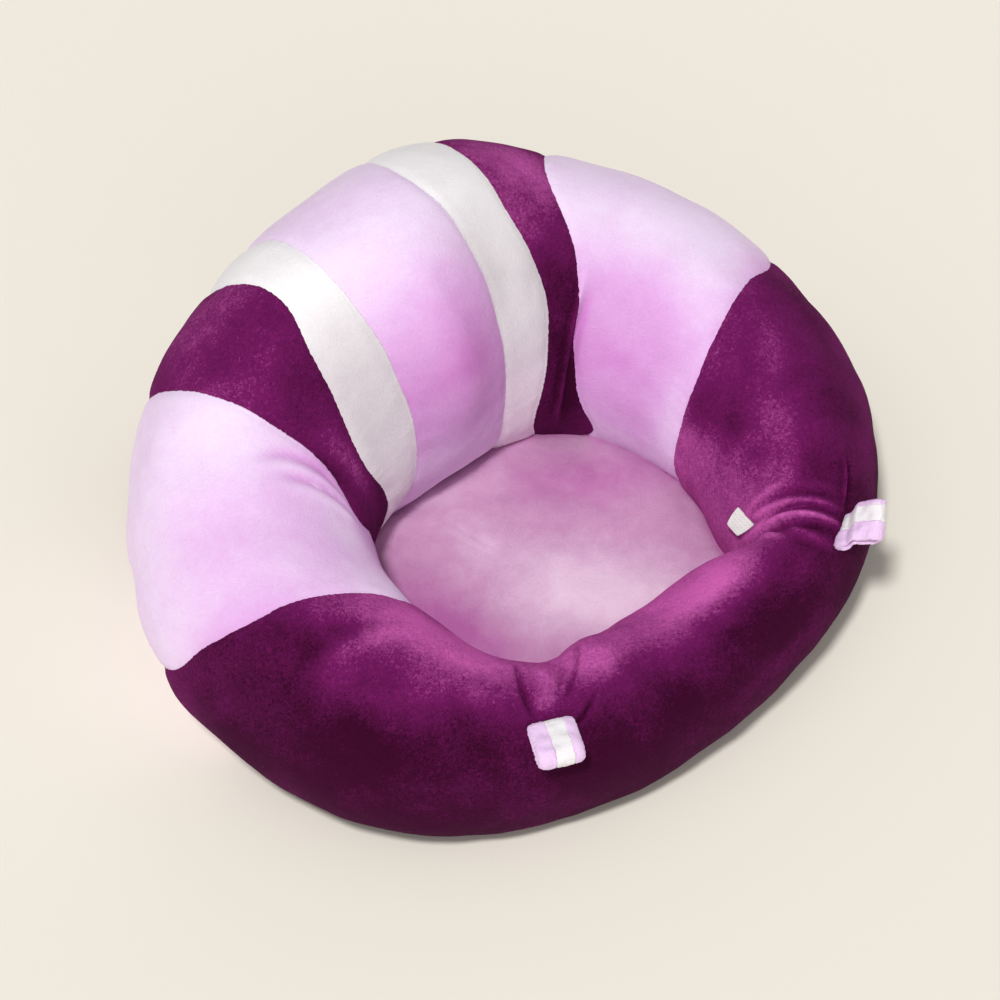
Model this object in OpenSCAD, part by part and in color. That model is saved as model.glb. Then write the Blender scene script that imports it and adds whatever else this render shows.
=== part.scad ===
// Ring-shaped plush floor seat for a baby who is learning to sit.
// A stuffed velvet tube, tall behind and low in front, is bent into a ring round a soft pad.
// Left and right are as seen from the front. The front faces -Y, and the base stands on Z = 0.
// An angle round the ring starts at the front and grows towards +X.

/* [Tube at the front] */
// Inner reach of the tube from the ring's middle
front_inner = 58; // [52:1:64]
// Outer reach of the tube from the ring's middle
front_outer = 151; // [144:1:158]
// Height of the tube
front_height = 97; // [88:1:106]
// How far the top of the tube leans outwards
front_lean = 10; // [0:1:18]

/* [Tube at the front corners] */
// Inner reach of the tube from the ring's middle
corner_inner = 91; // [85:1:96]
// Outer reach of the tube from the ring's middle
corner_outer = 176; // [170:1:184]
// Height of the tube
corner_height = 107; // [98:1:116]
// How far the top of the tube leans outwards
corner_lean = 9; // [0:1:16]

/* [Tube at the sides] */
// Inner reach of the tube from the ring's middle
side_inner = 95; // [88:1:102]
// Outer reach of the tube from the ring's middle
side_outer = 222; // [212:1:230]
// Height of the tube
side_height = 130; // [120:1:140]
// How far the top of the tube leans outwards
side_lean = 2; // [-6:1:10]

/* [Tube at the rear corners] */
// Inner reach of the tube from the ring's middle
rear_inner = 97; // [90:1:105]
// Outer reach of the tube from the ring's middle
rear_outer = 241; // [232:1:250]
// Height of the tube
rear_height = 172; // [160:1:184]
// How far the top of the tube leans outwards
rear_lean = 11; // [0:1:18]

/* [Tube at the back] */
// Inner reach of the tube from the ring's middle
back_inner = 67; // [60:1:75]
// Outer reach of the tube from the ring's middle
back_outer = 236; // [228:1:245]
// Height of the tube
back_height = 223; // [210:1:236]
// How far the top of the tube leans outwards
back_lean = -14; // [-20:1:0]

/* [Cover] */
// Thickness of the velvet cover
cover_t = 2; // [1.5:0.1:3]
// Depth by which the stuffed tube is flattened where it stands
stand_flat = 5; // [3:0.5:8]
// Free space between pieces that lie against each other
clearance = 0.3; // [0.25:0.05:0.5]

// Free space between the cover and the stuffing
stuffing_gap = 0.8; // [0.7:0.05:0.9]

/* [Seams] */
// Angle of the seam between the front and side panels
side_seam = 96; // [91:1:101]
// Slant of that seam, in degrees for each 100 mm outwards
side_seam_slant = 11; // [6:0.5:14]
// Angle of the seam between the side and dark back panels
dark_seam = 132.5; // [129:0.5:136]
// Slant of that seam, in degrees for each 100 mm outwards
dark_seam_slant = 11.5; // [6:0.5:14]
// Angle of the seam between the dark back panels and the white stripes
stripe_seam = 149.5; // [147:0.5:152]
// Slant of that seam, in degrees for each 100 mm outwards
stripe_seam_slant = 16.5; // [12:0.5:19]
// Angle of the seam between the white stripes and the back centre panel
centre_seam = 163; // [160:1:166]
// Slant of that seam, in degrees for each 100 mm outwards
centre_seam_slant = 10.5; // [7:0.5:13]

/* [Pinches] */
// Angle of each gathered pinch from the front
pinch_angle = 43; // [40:1:46]
// Half width of a pinch, as an angle round the ring
pinch_spread = 8; // [6:0.5:10]
// Depth of the left pinch
pinch_depth_left = 5; // [2:1:10]
// Depth of the right pinch
pinch_depth_right = 19; // [12:1:22]
// Thickness of the inner tape that holds a pinch
tape_t = 1.5; // [1:0.1:2]

/* [Seat pad] */
// Height of the seam where the pad joins the ring
pad_seam_z = 26; // [22:1:30]
// Height of the pad's underside over the floor
pad_under_z = 8; // [7.5:0.5:10]
// Crown of the pad near its edge
pad_crown = 10; // [6:1:13]
// Dip in the middle of the pad
pad_dish = 5; // [0:1:6]
// Width of the pad's sewn edge, as a share of its radius
pad_edge = 0.05; // [0.04:0.01:0.07]

/* [Zip] */
// Length of the zip's chain
zip_len = 116; // [100:2:120]
// Width of one zip tape
zip_tape_w = 13; // [11:0.5:15]
// Thickness of a zip tape
zip_tape_t = 0.8; // [0.6:0.1:1]
// Width of one coil
coil_w = 2.2; // [1.8:0.1:2.4]
// Thickness of a coil
coil_t = 1.5; // [1.2:0.1:1.6]
// Gap between the two coils
coil_gap = 2; // [1.8:0.1:2.4]
// Length of the slider
slider_len = 11; // [9:0.5:13]
// Thickness of the slider's plates
slider_plate_t = 0.9; // [0.8:0.1:1]
// Length of the pull tab
tab_len = 22; // [16:1:28]
// Width of the pull tab
tab_w = 6.4; // [6:0.2:8]
// Thickness of the pull tab
tab_t = 1; // [0.8:0.1:1.1]

/* [Toy loops] */
// Length of a loop from its sewn end to its fold
loop_len = 27; // [23:1:31]
// Width of a loop's striped strip
loop_w = 24; // [20:1:28]
// Share of the strip's width that the white band takes
loop_white_share = 0.4; // [0.3:0.05:0.5]
// Thickness of a loop at its sewn end
loop_base_t = 7; // [6:0.5:8]
// Thickness of a loop near its fold
loop_fold_t = 13; // [11:0.5:15]
// Height of the slit inside a loop
loop_slit = 2.4; // [1.6:0.2:3]
// Angle up the tube's outside where the left loop is sewn
loop_place_left = 62; // [57:1:67]
// Angle up the tube's outside where the right loop is sewn
loop_place_right = 47; // [42:1:52]
// Turn of the left loop towards the front
loop_turn_left = 22; // [14:1:26]
// Turn of the right loop towards the front
loop_turn_right = 8; // [2:1:16]
// Droop of the left loop under the level
loop_droop_left = 10; // [4:1:20]
// Rise of the right loop over the level
loop_rise_right = 15; // [8:1:22]

/* [Care label] */
// Width of the folded blank label
label_w = 16; // [12:1:18]
// Height of the folded label
label_h = 12; // [9:1:14]
// Thickness of one layer of the label
label_t = 0.7; // [0.5:0.1:0.9]
// Angle by which the label stands off the cover
label_lift = 25; // [15:1:40]

/* [Hidden] */

// Colours of the fabrics and of the zip
dark = [0.36, 0.09, 0.31];
lilac = [0.91, 0.78, 0.94];
white = [0.94, 0.93, 0.93];
pad_pink = [0.83, 0.61, 0.79];
fibre = [0.96, 0.96, 0.94];
nylon = [0.45, 0.16, 0.4];
metal = [0.7, 0.7, 0.72];

// The five stations round one half of the ring, from front to back
inner_reach = [front_inner, corner_inner, side_inner, rear_inner, back_inner];
outer_reach = [front_outer, corner_outer, side_outer, rear_outer, back_outer];
tube_height = [front_height, corner_height, side_height, rear_height, back_height];
tube_lean = [front_lean, corner_lean, side_lean, rear_lean, back_lean];

// Points round the tube's section
section_points = 24;
section_step = 360/section_points;
section_angles = [for (j = [0:section_points - 1]) j*section_step];
// Middle of a pinch's crease on the section, and its half width there
crease_angle = 145;
crease_spread = 58;
// Radius at which a slanted seam has its nominal angle
seam_radius = 150;

// Steps along each kind of panel, as shares of its length, closer together beside a pinch
even_steps = function(n) [for (i = [0:n]) i/n];
corner_steps = [0, 0.05, 0.1, 0.17, 0.25, 0.34, 0.45, 0.58, 0.72, 0.86, 1];
front_half_steps = [0, 0.03, 0.065, 0.105, 0.15, 0.21, 0.29, 0.39];
front_steps = concat(front_half_steps, [0.5], [for (i = [7:-1:0]) 1 - front_half_steps[i]]);
side_parts = 6;
dark_parts = 4;
stripe_parts = 3;
centre_parts = 6;

// Even cosine weights that carry one smooth curve through five stations 45 degrees apart
function end_half(k) = k == 0 || k == 4 ? 0.5 : 1;
function weights(v) = [for (k = [0:4])
    end_half(k)*0.5*([for (j = [0:4]) end_half(j)*v[j]]*[for (j = [0:4]) cos(45*j*k)])];
inner_weights = weights(inner_reach);
outer_weights = weights(outer_reach);
height_weights = weights(tube_height);
lean_weights = weights(tube_lean);
function cosines(t) = [for (k = [0:4]) cos(k*t)];
function inner_at(t) = inner_weights*cosines(t);
function outer_at(t) = outer_weights*cosines(t);
function height_at(t) = height_weights*cosines(t);
function lean_at(t) = lean_weights*cosines(t);

// How deep the tube is drawn in at ring angle t and section angle f
function pinch_depth(t) = t < 0 ? pinch_depth_left : pinch_depth_right;
function pinch(t, f) = pinch_depth(t)*exp(-pow((abs(t) - pinch_angle)/pinch_spread, 2))
    *exp(-pow((f - crease_angle)/crease_spread, 2));

// Height over the floor, then distance from the ring's middle, of the tube's skin drawn in by inset
function skin_z(t, f, inset) = max(inset,
    (height_at(t) - stand_flat)/2 + ((height_at(t) + stand_flat)/2 - inset - pinch(t, f))*sin(f));
function skin_r(t, f, inset) = (outer_at(t) + inner_at(t))/2
    + ((outer_at(t) - inner_at(t))/2 - inset - pinch(t, f))*cos(f)
    + lean_at(t)*(skin_z(t, f, inset)/height_at(t) - 0.5);

// The ring's middle lies so that the origin is under the middle of the whole seat
front_reach = max([for (f = section_angles) skin_r(0, f, 0)]);
back_reach = max([for (f = section_angles) skin_r(180, f, 0)]);
ring_y = (front_reach - back_reach)/2;
function at(r, t, z) = [r*sin(t), ring_y - r*cos(t), z];
function skin(t, f, inset) = at(skin_r(t, f, inset), t, skin_z(t, f, inset));
function unit(v) = v/norm(v);

// A seam is its angle and its slant; a slanted seam's angle grows with the distance from the middle
function seam(side, angle, slant) = [side*angle, side*slant];
function seam_t(s, f, inset) = s[0] + s[1]*(skin_r(s[0], f, inset) - seam_radius)/100;
function skin_grid(s1, s2, steps, inset) = [for (u = steps) for (f = section_angles)
    skin((1 - u)*seam_t(s1, f, inset) + u*seam_t(s2, f, inset), f, inset)];

// Two triangles over a quad of a grid that is wrapped after n columns
function quad(a, b, c, d) = [[a, d, c], [a, c, b]];
function wrap_quads(rows, n, start, flip) = [for (i = [0:rows - 2]) for (j = [0:n - 1])
    let (k = (j + 1)%n, a = start + i*n + j, b = start + (i + 1)*n + j,
        c = start + (i + 1)*n + k, d = start + i*n + k)
    each flip ? quad(a, d, c, b) : quad(a, b, c, d)];
// Triangles between two rings of points whose first points are a and b
function band(a, b, n) = [for (j = [0:n - 1]) let (k = (j + 1)%n)
    each [[a + j, b + j, b + k], [a + j, b + k, a + k]]];
function turned(faces) = [for (f = faces) [f[0], f[2], f[1]]];

// One hollow length of the cover between two seams
module sleeve(s1, s2, steps) {
    n = section_points;
    rows = len(steps);
    inside = rows*n;
    last = (rows - 1)*n;
    polyhedron(
        concat(skin_grid(s1, s2, steps, 0), skin_grid(s1, s2, steps, cover_t)),
        concat(wrap_quads(rows, n, 0, false), wrap_quads(rows, n, inside, true),
            band(0, inside, n), turned(band(last, inside + last, n))),
        convexity = 6);
}

// The plane of a pinch set back by half the tape, as an angle at each point of the section
function pinch_face_t(t, back, f, inset) = t + back*asin((tape_t/2 + clearance)/skin_r(t, f, inset));

// One solid length of stuffing between angles t1 and t2, set back from them towards its own middle
module stuffing(t1, t2, steps) {
    n = section_points;
    rows = len(steps);
    inset = cover_t + stuffing_gap;
    points = [for (u = steps) for (f = section_angles)
        let (ta = pinch_face_t(t1, 1, f, inset), tb = pinch_face_t(t2 > 180 ? t2 - 360 : t2, -1, f, inset),
            t = (1 - u)*ta + u*(t2 > 180 ? tb + 360 : tb))
        skin(t > 180 ? t - 360 : t, f, inset)];
    last = (rows - 1)*n;
    polyhedron(points, concat(wrap_quads(rows, n, 0, false),
        [for (j = [1:n - 2]) [0, j + 1, j]], [for (j = [1:n - 2]) [last, last + j, last + j + 1]]),
        convexity = 8);
}

// Angles at which the long stuffing has its cross sections, from the right pinch round the back
long_stuffing_span = 360 - 2*pinch_angle;
function span_of(side, from, to, steps) = [for (u = steps)
    let (t = from + u*(to - from)) (side > 0 ? t - pinch_angle : long_stuffing_span - t + pinch_angle)
        /long_stuffing_span];
half_stuffing_steps = concat(span_of(1, pinch_angle, side_seam, corner_steps),
    span_of(1, side_seam, dark_seam, [for (i = [1:side_parts]) i/side_parts]),
    span_of(1, dark_seam, 180, [for (i = [1:dark_parts*2]) i/(dark_parts*2)]));
long_stuffing_steps = concat(half_stuffing_steps,
    [for (i = [len(half_stuffing_steps) - 2:-1:0]) 1 - half_stuffing_steps[i]]);

// Free radius for the pad inside the ring at ring angle t, at the height of the pad's top edge
pad_edge_z = pad_seam_z + cover_t;
function pad_radius(t) = let (h = height_at(t), s = (pad_edge_z - (h - stand_flat)/2)/((h + stand_flat)/2))
    (outer_at(t) + inner_at(t))/2 - (outer_at(t) - inner_at(t))/2*sqrt(1 - s*s)
    + lean_at(t)*(pad_edge_z/h - 0.5) - clearance;

// Rings of the pad's grid as shares of its radius, and its points round
pad_points = 48;
pad_rings = [0.3, 0.6, 0.75, 0.86, 1 - pad_edge, 1];
wadding_rings = [0.3, 0.6, 0.75, 0.86, 0.975*(1 - pad_edge)];
// Share of the pad's underside that is flat, and the wadding's free space
pad_flat_share = 0.7;
wadding_gap = clearance + 0.2;
function edge_share(u) = min(1, u/(1 - pad_edge));
function pad_top(u) = let (v = edge_share(u))
    pad_edge_z + pad_crown*(1 - pow(v, 4)) - pad_dish*pow(1 - v*v, 2);
function pad_under(u) = let (v = max(0, edge_share(u) - pad_flat_share)/(1 - pad_flat_share))
    pad_under_z + (pad_seam_z - cover_t - pad_under_z)*v*v;

// A closed round solid between an upper and a lower height, both given for each share of the radius
module pad_solid(rings, upper, lower) {
    n = pad_points;
    m = len(rings);
    ring_points = function(heights) [for (i = [0:m - 1]) for (j = [0:n - 1])
        let (t = 360*j/n) at(rings[i]*pad_radius(t), t, heights[i])];
    tops = [for (u = rings) upper(u)];
    lows = [for (u = rings) lower(u)];
    // The rows run outwards, so the quads of the upper side are those of a wrapped grid
    centre_top = 2*m*n;
    centre_low = centre_top + 1;
    outer_top = (m - 1)*n;
    outer_low = m*n + (m - 1)*n;
    polyhedron(
        concat(ring_points(tops), ring_points(lows), [at(0, 0, upper(0)), at(0, 0, lower(0))]),
        concat(wrap_quads(m, n, 0, false), wrap_quads(m, n, m*n, true),
            [for (j = [0:n - 1]) [centre_top, (j + 1)%n, j]],
            [for (j = [0:n - 1]) [centre_low, m*n + j, m*n + (j + 1)%n]],
            turned(band(outer_top, outer_low, n))),
        convexity = 4);
}

// The under cover is cut in two along the zip, and has an open slot over the coils
slot_half = coil_gap/2 + coil_w + 2;
// Length of an end stop along the chain, and half the slot's length
stop_len = 3;
slot_end = zip_len/2 + stop_len + clearance;
// Size of a box that is larger than the pad
beyond = 500;

module pad_under_half(side) {
    difference() {
        pad_solid(pad_rings, function(u) pad_under(u) + cover_t, function(u) pad_under(u));
        translate([-beyond/2, side > 0 ? ring_y - beyond : ring_y, 0]) cube([beyond, beyond, beyond/2]);
        translate([-slot_end, ring_y - slot_half, 0]) cube([2*slot_end, 2*slot_half, beyond/2]);
    }
}

// Heights in the zip, from the tapes down to the pull tab
tape_z = pad_under_z - zip_tape_t;
coil_z = tape_z - coil_t;
lower_plate_z = coil_z - clearance - slider_plate_t;
upper_plate_z = tape_z + zip_tape_t + clearance;
// Room between the slider and the bar of its bridge, where the pull tab's pin lies
bridge_room = tab_t + 2*clearance;
bridge_bar_t = 0.9;
bridge_w = 1.6;
pin_z = lower_plate_z - bridge_room/2;
slider_w = coil_gap + 2*coil_w + 2*clearance + 1.6;
slider_flange_t = 0.8;
// The slider rests at the right-hand end of the chain
slider_x = zip_len/2 - slider_len/2;
bridge_len = slider_len - 3;
// Width of the pull tab's pin window, and how far its arms reach before the tab's plate starts
tab_window_w = bridge_w + 2*clearance;
tab_window_len = bridge_bar_t + bridge_room/2 + 2*clearance + tab_t/2;
pin_x = slider_x - bridge_len/2 + bridge_bar_t + clearance + tab_t/2;

module zip_tape(side) {
    // A tape lies under the cover's edge and reaches inwards until its coil's middle
    inner = coil_gap/2 + coil_w/2;
    translate([-slot_end, side > 0 ? ring_y + inner : ring_y - inner - zip_tape_w, tape_z])
        cube([2*slot_end, zip_tape_w, zip_tape_t]);
}

module zip_coil(side) {
    translate([-zip_len/2, ring_y + side*(coil_gap/2 + coil_w/2), coil_z + coil_t/2])
        rotate([90, 0, 90]) linear_extrude(zip_len) {
            translate([-coil_w/2, 0]) square([coil_w, coil_t/2]);
            intersection() {
                scale([coil_w/2, coil_t/2]) circle(1, $fn = 20);
                translate([-coil_w, -coil_t]) square([2*coil_w, 2*coil_t]);
            }
        }
}

module end_stop(side) {
    w = coil_gap + 2*coil_w;
    translate([side > 0 ? zip_len/2 : -zip_len/2 - stop_len, ring_y - w/2, coil_z])
        cube([stop_len, w, coil_t]);
}

module slider_box(x0, x1, half_w, z0, z1) {
    translate([x0, ring_y - half_w, z0]) cube([x1 - x0, 2*half_w, z1 - z0]);
}

module slider_body() {
    x0 = slider_x - slider_len/2;
    x1 = slider_x + slider_len/2 - clearance;
    post_half = coil_gap/2 - clearance;
    flange_top = tape_z - clearance;
    // Lower plate, upper plate and the post that joins them between the coils
    slider_box(x0, x1, slider_w/2, lower_plate_z, lower_plate_z + slider_plate_t);
    slider_box(x0, x1, slider_w/2 - slider_flange_t, upper_plate_z, upper_plate_z + slider_plate_t);
    slider_box(x1 - slider_len/3, x1, post_half, lower_plate_z, upper_plate_z + slider_plate_t);
    for (side = [-1, 1])
        translate([x0, ring_y + side*(slider_w - slider_flange_t)/2 - slider_flange_t/2, lower_plate_z])
            cube([x1 - x0, slider_flange_t, flange_top - lower_plate_z]);
    // Bridge that holds the pull tab's pin
    bridge_z = lower_plate_z - bridge_room - bridge_bar_t;
    slider_box(slider_x - bridge_len/2, slider_x + bridge_len/2, bridge_w/2, bridge_z,
        bridge_z + bridge_bar_t);
    for (x = [slider_x - bridge_len/2, slider_x + bridge_len/2 - bridge_bar_t])
        slider_box(x, x + bridge_bar_t, bridge_w/2, bridge_z, lower_plate_z);
}

module pull_tab() {
    arm_w = (tab_w - tab_window_w)/2;
    plate_x = pin_x - tab_window_len;
    translate([pin_x, ring_y - tab_w/2, pin_z]) rotate([-90, 0, 0]) cylinder(h = tab_w, d = tab_t, $fn = 24);
    for (side = [-1, 1])
        translate([plate_x, ring_y + side*(tab_w - arm_w)/2 - arm_w/2, pin_z - tab_t/2])
            cube([tab_window_len, arm_w, tab_t]);
    translate([pin_x - tab_len, ring_y, pin_z - tab_t/2]) linear_extrude(tab_t) difference() {
        union() {
            translate([tab_w/2, -tab_w/2]) square([tab_len - tab_window_len - tab_w/2, tab_w]);
            translate([tab_w/2, 0]) circle(d = tab_w, $fn = 32);
        }
        translate([tab_w/2, 0]) circle(d = tab_w/3, $fn = 24);
    }
}

// A flat tape that runs inside the tube from its inner to its outer wall, in the plane of a pinch
tape_rows = 1;
module pinch_tape(side) {
    t = side*pinch_angle;
    inset = cover_t + clearance;
    // Section angles of the tape's corners lie on points of the section
    corners = [for (f = [0, tape_rows*section_step, 180 - tape_rows*section_step, 180])
        [skin_r(t, f, inset), skin_z(t, f, inset)]];
    translate([0, ring_y, 0]) rotate([90, 0, t - 90]) translate([0, 0, -tape_t/2])
        linear_extrude(tape_t) polygon(corners);
}

// Side view of a loop: a padded strip doubled back on itself round a narrow slit
module loop_profile() {
    fold_x = loop_len - loop_fold_t/2;
    base_x = loop_base_t/2;
    difference() {
        hull() {
            translate([base_x, 0]) circle(d = loop_base_t, $fn = 32);
            translate([fold_x, 0]) circle(d = loop_fold_t, $fn = 32);
        }
        hull() {
            translate([base_x + 2, 0]) circle(d = loop_slit/2, $fn = 16);
            translate([fold_x, 0]) circle(d = loop_slit, $fn = 16);
        }
    }
}

// Each loop is sewn on at a pinch and turned a little towards the front
function loop_t(side) = side*pinch_angle;
function loop_droop(side) = side < 0 ? loop_droop_left : -loop_rise_right;
function loop_place(side) = side < 0 ? loop_place_left : loop_place_right;
function loop_heading(side) = loop_t(side) - side*(side < 0 ? loop_turn_left : loop_turn_right);
function loop_across(side) = [cos(loop_heading(side)), sin(loop_heading(side)), 0];
// How far the cover rises over the loop's base line, measured square to the cover at its middle
function cover_normal(t, f) = unit(cross(skin(t + 1, f, 0) - skin(t - 1, f, 0),
    skin(t, f + 2, 0) - skin(t, f - 2, 0)));
function cover_rise(side, x) = let (t = loop_t(side), f = loop_place(side),
    turn = 2*x/norm(skin(t + 1, f, 0) - skin(t - 1, f, 0)))
    (skin(t + turn, f, 0) - skin(t, f, 0) - x*loop_across(side))*cover_normal(t, f);
function loop_base(side) = let (t = loop_t(side), f = loop_place(side),
    rise = max([for (u = [-0.5:0.25:0.5]) cover_rise(side, u*loop_w)]))
    skin(t, f, 0) + (loop_base_t/2 + 2*clearance + rise)*cover_normal(t, f);

module place_loop(side) {
    translate(loop_base(side)) rotate([0, 0, loop_heading(side)]) rotate([loop_droop(side), 0, 0]) children();
}

// One band of a loop between two places across the strip
module loop_band(side, x0, x1) {
    place_loop(side) translate([x0, loop_base_t/2, 0])
        rotate([90, 0, -90]) mirror([0, 0, 1]) linear_extrude(x1 - x0) loop_profile();
}

white_half = loop_w*loop_white_share/2;
module white_band(side) {
    color(white) loop_band(side, -white_half, white_half);
}
module lilac_bands(side) {
    color(lilac) loop_band(side, -loop_w/2, -white_half);
    color(lilac) loop_band(side, white_half, loop_w/2);
}

// The label hangs over the tube's inner face, on the steep side slope of the right pinch
label_angle = pinch_angle + 0.9*pinch_spread;
label_face_angle = 142;
label_fold_gap = 0.6;
label_thick = 2*label_t + label_fold_gap;
label_across = unit(skin(label_angle + 2, label_face_angle, 0) - skin(label_angle - 2, label_face_angle, 0));
label_normal = cover_normal(label_angle, label_face_angle);
label_length = cos(label_lift)*cross(label_normal, label_across) + sin(label_lift)*label_normal;
label_foot = skin(label_angle, label_face_angle, 0) + (label_thick/2 + clearance)*label_normal;
// Columns: across the label, through it towards the cover, along it to its fold, and its foot
label_place = [for (i = [0:2])
    [label_across[i], cross(label_length, label_across)[i], label_length[i], label_foot[i]]];

// A strip of tape doubled over, with its fold at the free end
module label() {
    multmatrix(label_place) translate([-label_w/2, -label_thick/2, 0]) difference() {
        cube([label_w, label_thick, label_h]);
        translate([-1, label_t, -1]) cube([label_w + 2, label_fold_gap, label_h - label_t + 1]);
    }
}

function left_seam(angle, slant) = seam(-1, angle, slant);
function right_seam(angle, slant) = seam(1, angle, slant);
module front_centre_panel() {
    color(dark) sleeve(left_seam(pinch_angle, 0), right_seam(pinch_angle, 0), front_steps);
}
// The paired panels, each running from its front seam to its rear seam; a mirrored one runs backwards
module paired_sleeve(side, a1, s1, a2, s2, steps) {
    near = seam(side, a1, s1);
    far = seam(side, a2, s2);
    if (side > 0) sleeve(near, far, steps);
    else sleeve(far, near, [for (i = [len(steps) - 1:-1:0]) 1 - steps[i]]);
}
module front_corner_panel(side) {
    color(dark) paired_sleeve(side, pinch_angle, 0, side_seam, side_seam_slant, corner_steps);
}
module side_panel(side) {
    color(lilac) paired_sleeve(side, side_seam, side_seam_slant, dark_seam, dark_seam_slant,
        even_steps(side_parts));
}
module back_dark_panel(side) {
    color(dark) paired_sleeve(side, dark_seam, dark_seam_slant, stripe_seam, stripe_seam_slant,
        even_steps(dark_parts));
}
module back_stripe(side) {
    color(white) paired_sleeve(side, stripe_seam, stripe_seam_slant, centre_seam, centre_seam_slant,
        even_steps(stripe_parts));
}
// The back centre panel crosses the rear, where the angle passes from 180 to more
module back_centre_panel() {
    color(lilac) sleeve([centre_seam, centre_seam_slant], [360 - centre_seam, -centre_seam_slant],
        even_steps(centre_parts));
}

module front_stuffing() { color(fibre) stuffing(-pinch_angle, pinch_angle, front_steps); }
module ring_stuffing() { color(fibre) stuffing(pinch_angle, 360 - pinch_angle, long_stuffing_steps); }
module pad_top_cover() {
    color(pad_pink) pad_solid(pad_rings, function(u) pad_top(u), function(u) pad_top(u) - cover_t);
}
module pad_wadding() {
    color(fibre) pad_solid(wadding_rings, function(u) pad_top(u) - cover_t - wadding_gap,
        function(u) pad_under(u) + cover_t + wadding_gap);
}
module zip_end_stops() {
    color(metal) end_stop(-1);
    color(metal) end_stop(1);
}

front_centre_panel();
front_corner_panel(-1);  // front_corner_panel_left
front_corner_panel(1);  // front_corner_panel_right
side_panel(-1);  // side_panel_left
side_panel(1);  // side_panel_right
back_dark_panel(-1);  // back_dark_panel_left
back_dark_panel(1);  // back_dark_panel_right
back_stripe(-1);  // back_stripe_left
back_stripe(1);  // back_stripe_right
back_centre_panel();
front_stuffing();
ring_stuffing();
color(white) pinch_tape(-1);  // pinch_tape_left
color(white) pinch_tape(1);  // pinch_tape_right
pad_top_cover();
pad_wadding();
color(dark) pad_under_half(-1);  // pad_under_cover_front
color(dark) pad_under_half(1);  // pad_under_cover_rear
color(nylon) zip_tape(-1);  // zip_tape_front
color(nylon) zip_tape(1);  // zip_tape_rear
color(nylon) zip_coil(-1);  // zip_coil_front
color(nylon) zip_coil(1);  // zip_coil_rear
zip_end_stops();
color(metal) slider_body();  // zip_slider
color(metal) pull_tab();  // zip_pull_tab
white_band(-1);  // loop_white_band_left
lilac_bands(-1);  // loop_lilac_bands_left
white_band(1);  // loop_white_band_right
lilac_bands(1);  // loop_lilac_bands_right
color(white) label();  // care_label
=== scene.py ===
"""Plush ring seat for a baby who is learning to sit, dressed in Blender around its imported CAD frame.

Lengths are in metres and angles in degrees. An angle t round the ring starts at the front and grows
towards +X. An angle f round the tube's section starts at its outermost line and passes over the top.
"""

import logging
import math
from dataclasses import dataclass, field, replace
from enum import Enum
from typing import Callable, Sequence

import bpy
import numpy as np
from mathutils import Matrix, Vector


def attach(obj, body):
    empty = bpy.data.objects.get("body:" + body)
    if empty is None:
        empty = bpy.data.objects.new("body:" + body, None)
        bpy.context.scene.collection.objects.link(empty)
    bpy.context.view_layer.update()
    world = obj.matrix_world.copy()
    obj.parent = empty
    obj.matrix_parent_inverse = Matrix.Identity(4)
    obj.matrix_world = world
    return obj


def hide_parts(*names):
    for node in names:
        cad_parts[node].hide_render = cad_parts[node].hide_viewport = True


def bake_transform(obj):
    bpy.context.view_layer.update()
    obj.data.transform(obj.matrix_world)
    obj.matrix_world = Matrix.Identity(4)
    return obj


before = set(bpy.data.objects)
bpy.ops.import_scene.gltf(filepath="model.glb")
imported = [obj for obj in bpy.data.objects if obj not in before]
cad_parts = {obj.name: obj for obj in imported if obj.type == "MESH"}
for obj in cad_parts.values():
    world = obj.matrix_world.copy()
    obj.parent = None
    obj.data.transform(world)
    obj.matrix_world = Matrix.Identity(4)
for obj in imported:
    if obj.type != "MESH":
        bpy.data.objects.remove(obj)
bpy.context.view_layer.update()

LOG = logging.getLogger("ring_seat")

Point = tuple[float, float, float]
Stations = tuple[float, float, float, float, float]

MIDDLE_Y = -0.0427073  # Y of the ring's middle, which the pad and its zip share
ZIP_SLOT_END = 0.0613  # X where the slot over the zip and the zip's tapes end
DEGREE = math.radians(1.0)


class Slot(Enum):
    """The record's material slots that the pieces take their finish from."""

    DARK = "velvet_dark"
    LILAC = "velvet_lilac"
    WHITE = "velvet_white"
    PAD = "velvet_pad"
    UNDER = "under_cloth"
    FIBRE = "fibre"
    TAPE = "woven_tape"
    NYLON = "zip_nylon"
    METAL = "zip_metal"


class Side(Enum):
    """Left or right as seen from the front; the value is the sign of X."""

    LEFT = -1
    RIGHT = 1

    @property
    def word(self) -> str:
        """The side's name as the CAD nodes spell it."""
        return self.name.lower()


# Shapes in numpy


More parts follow.
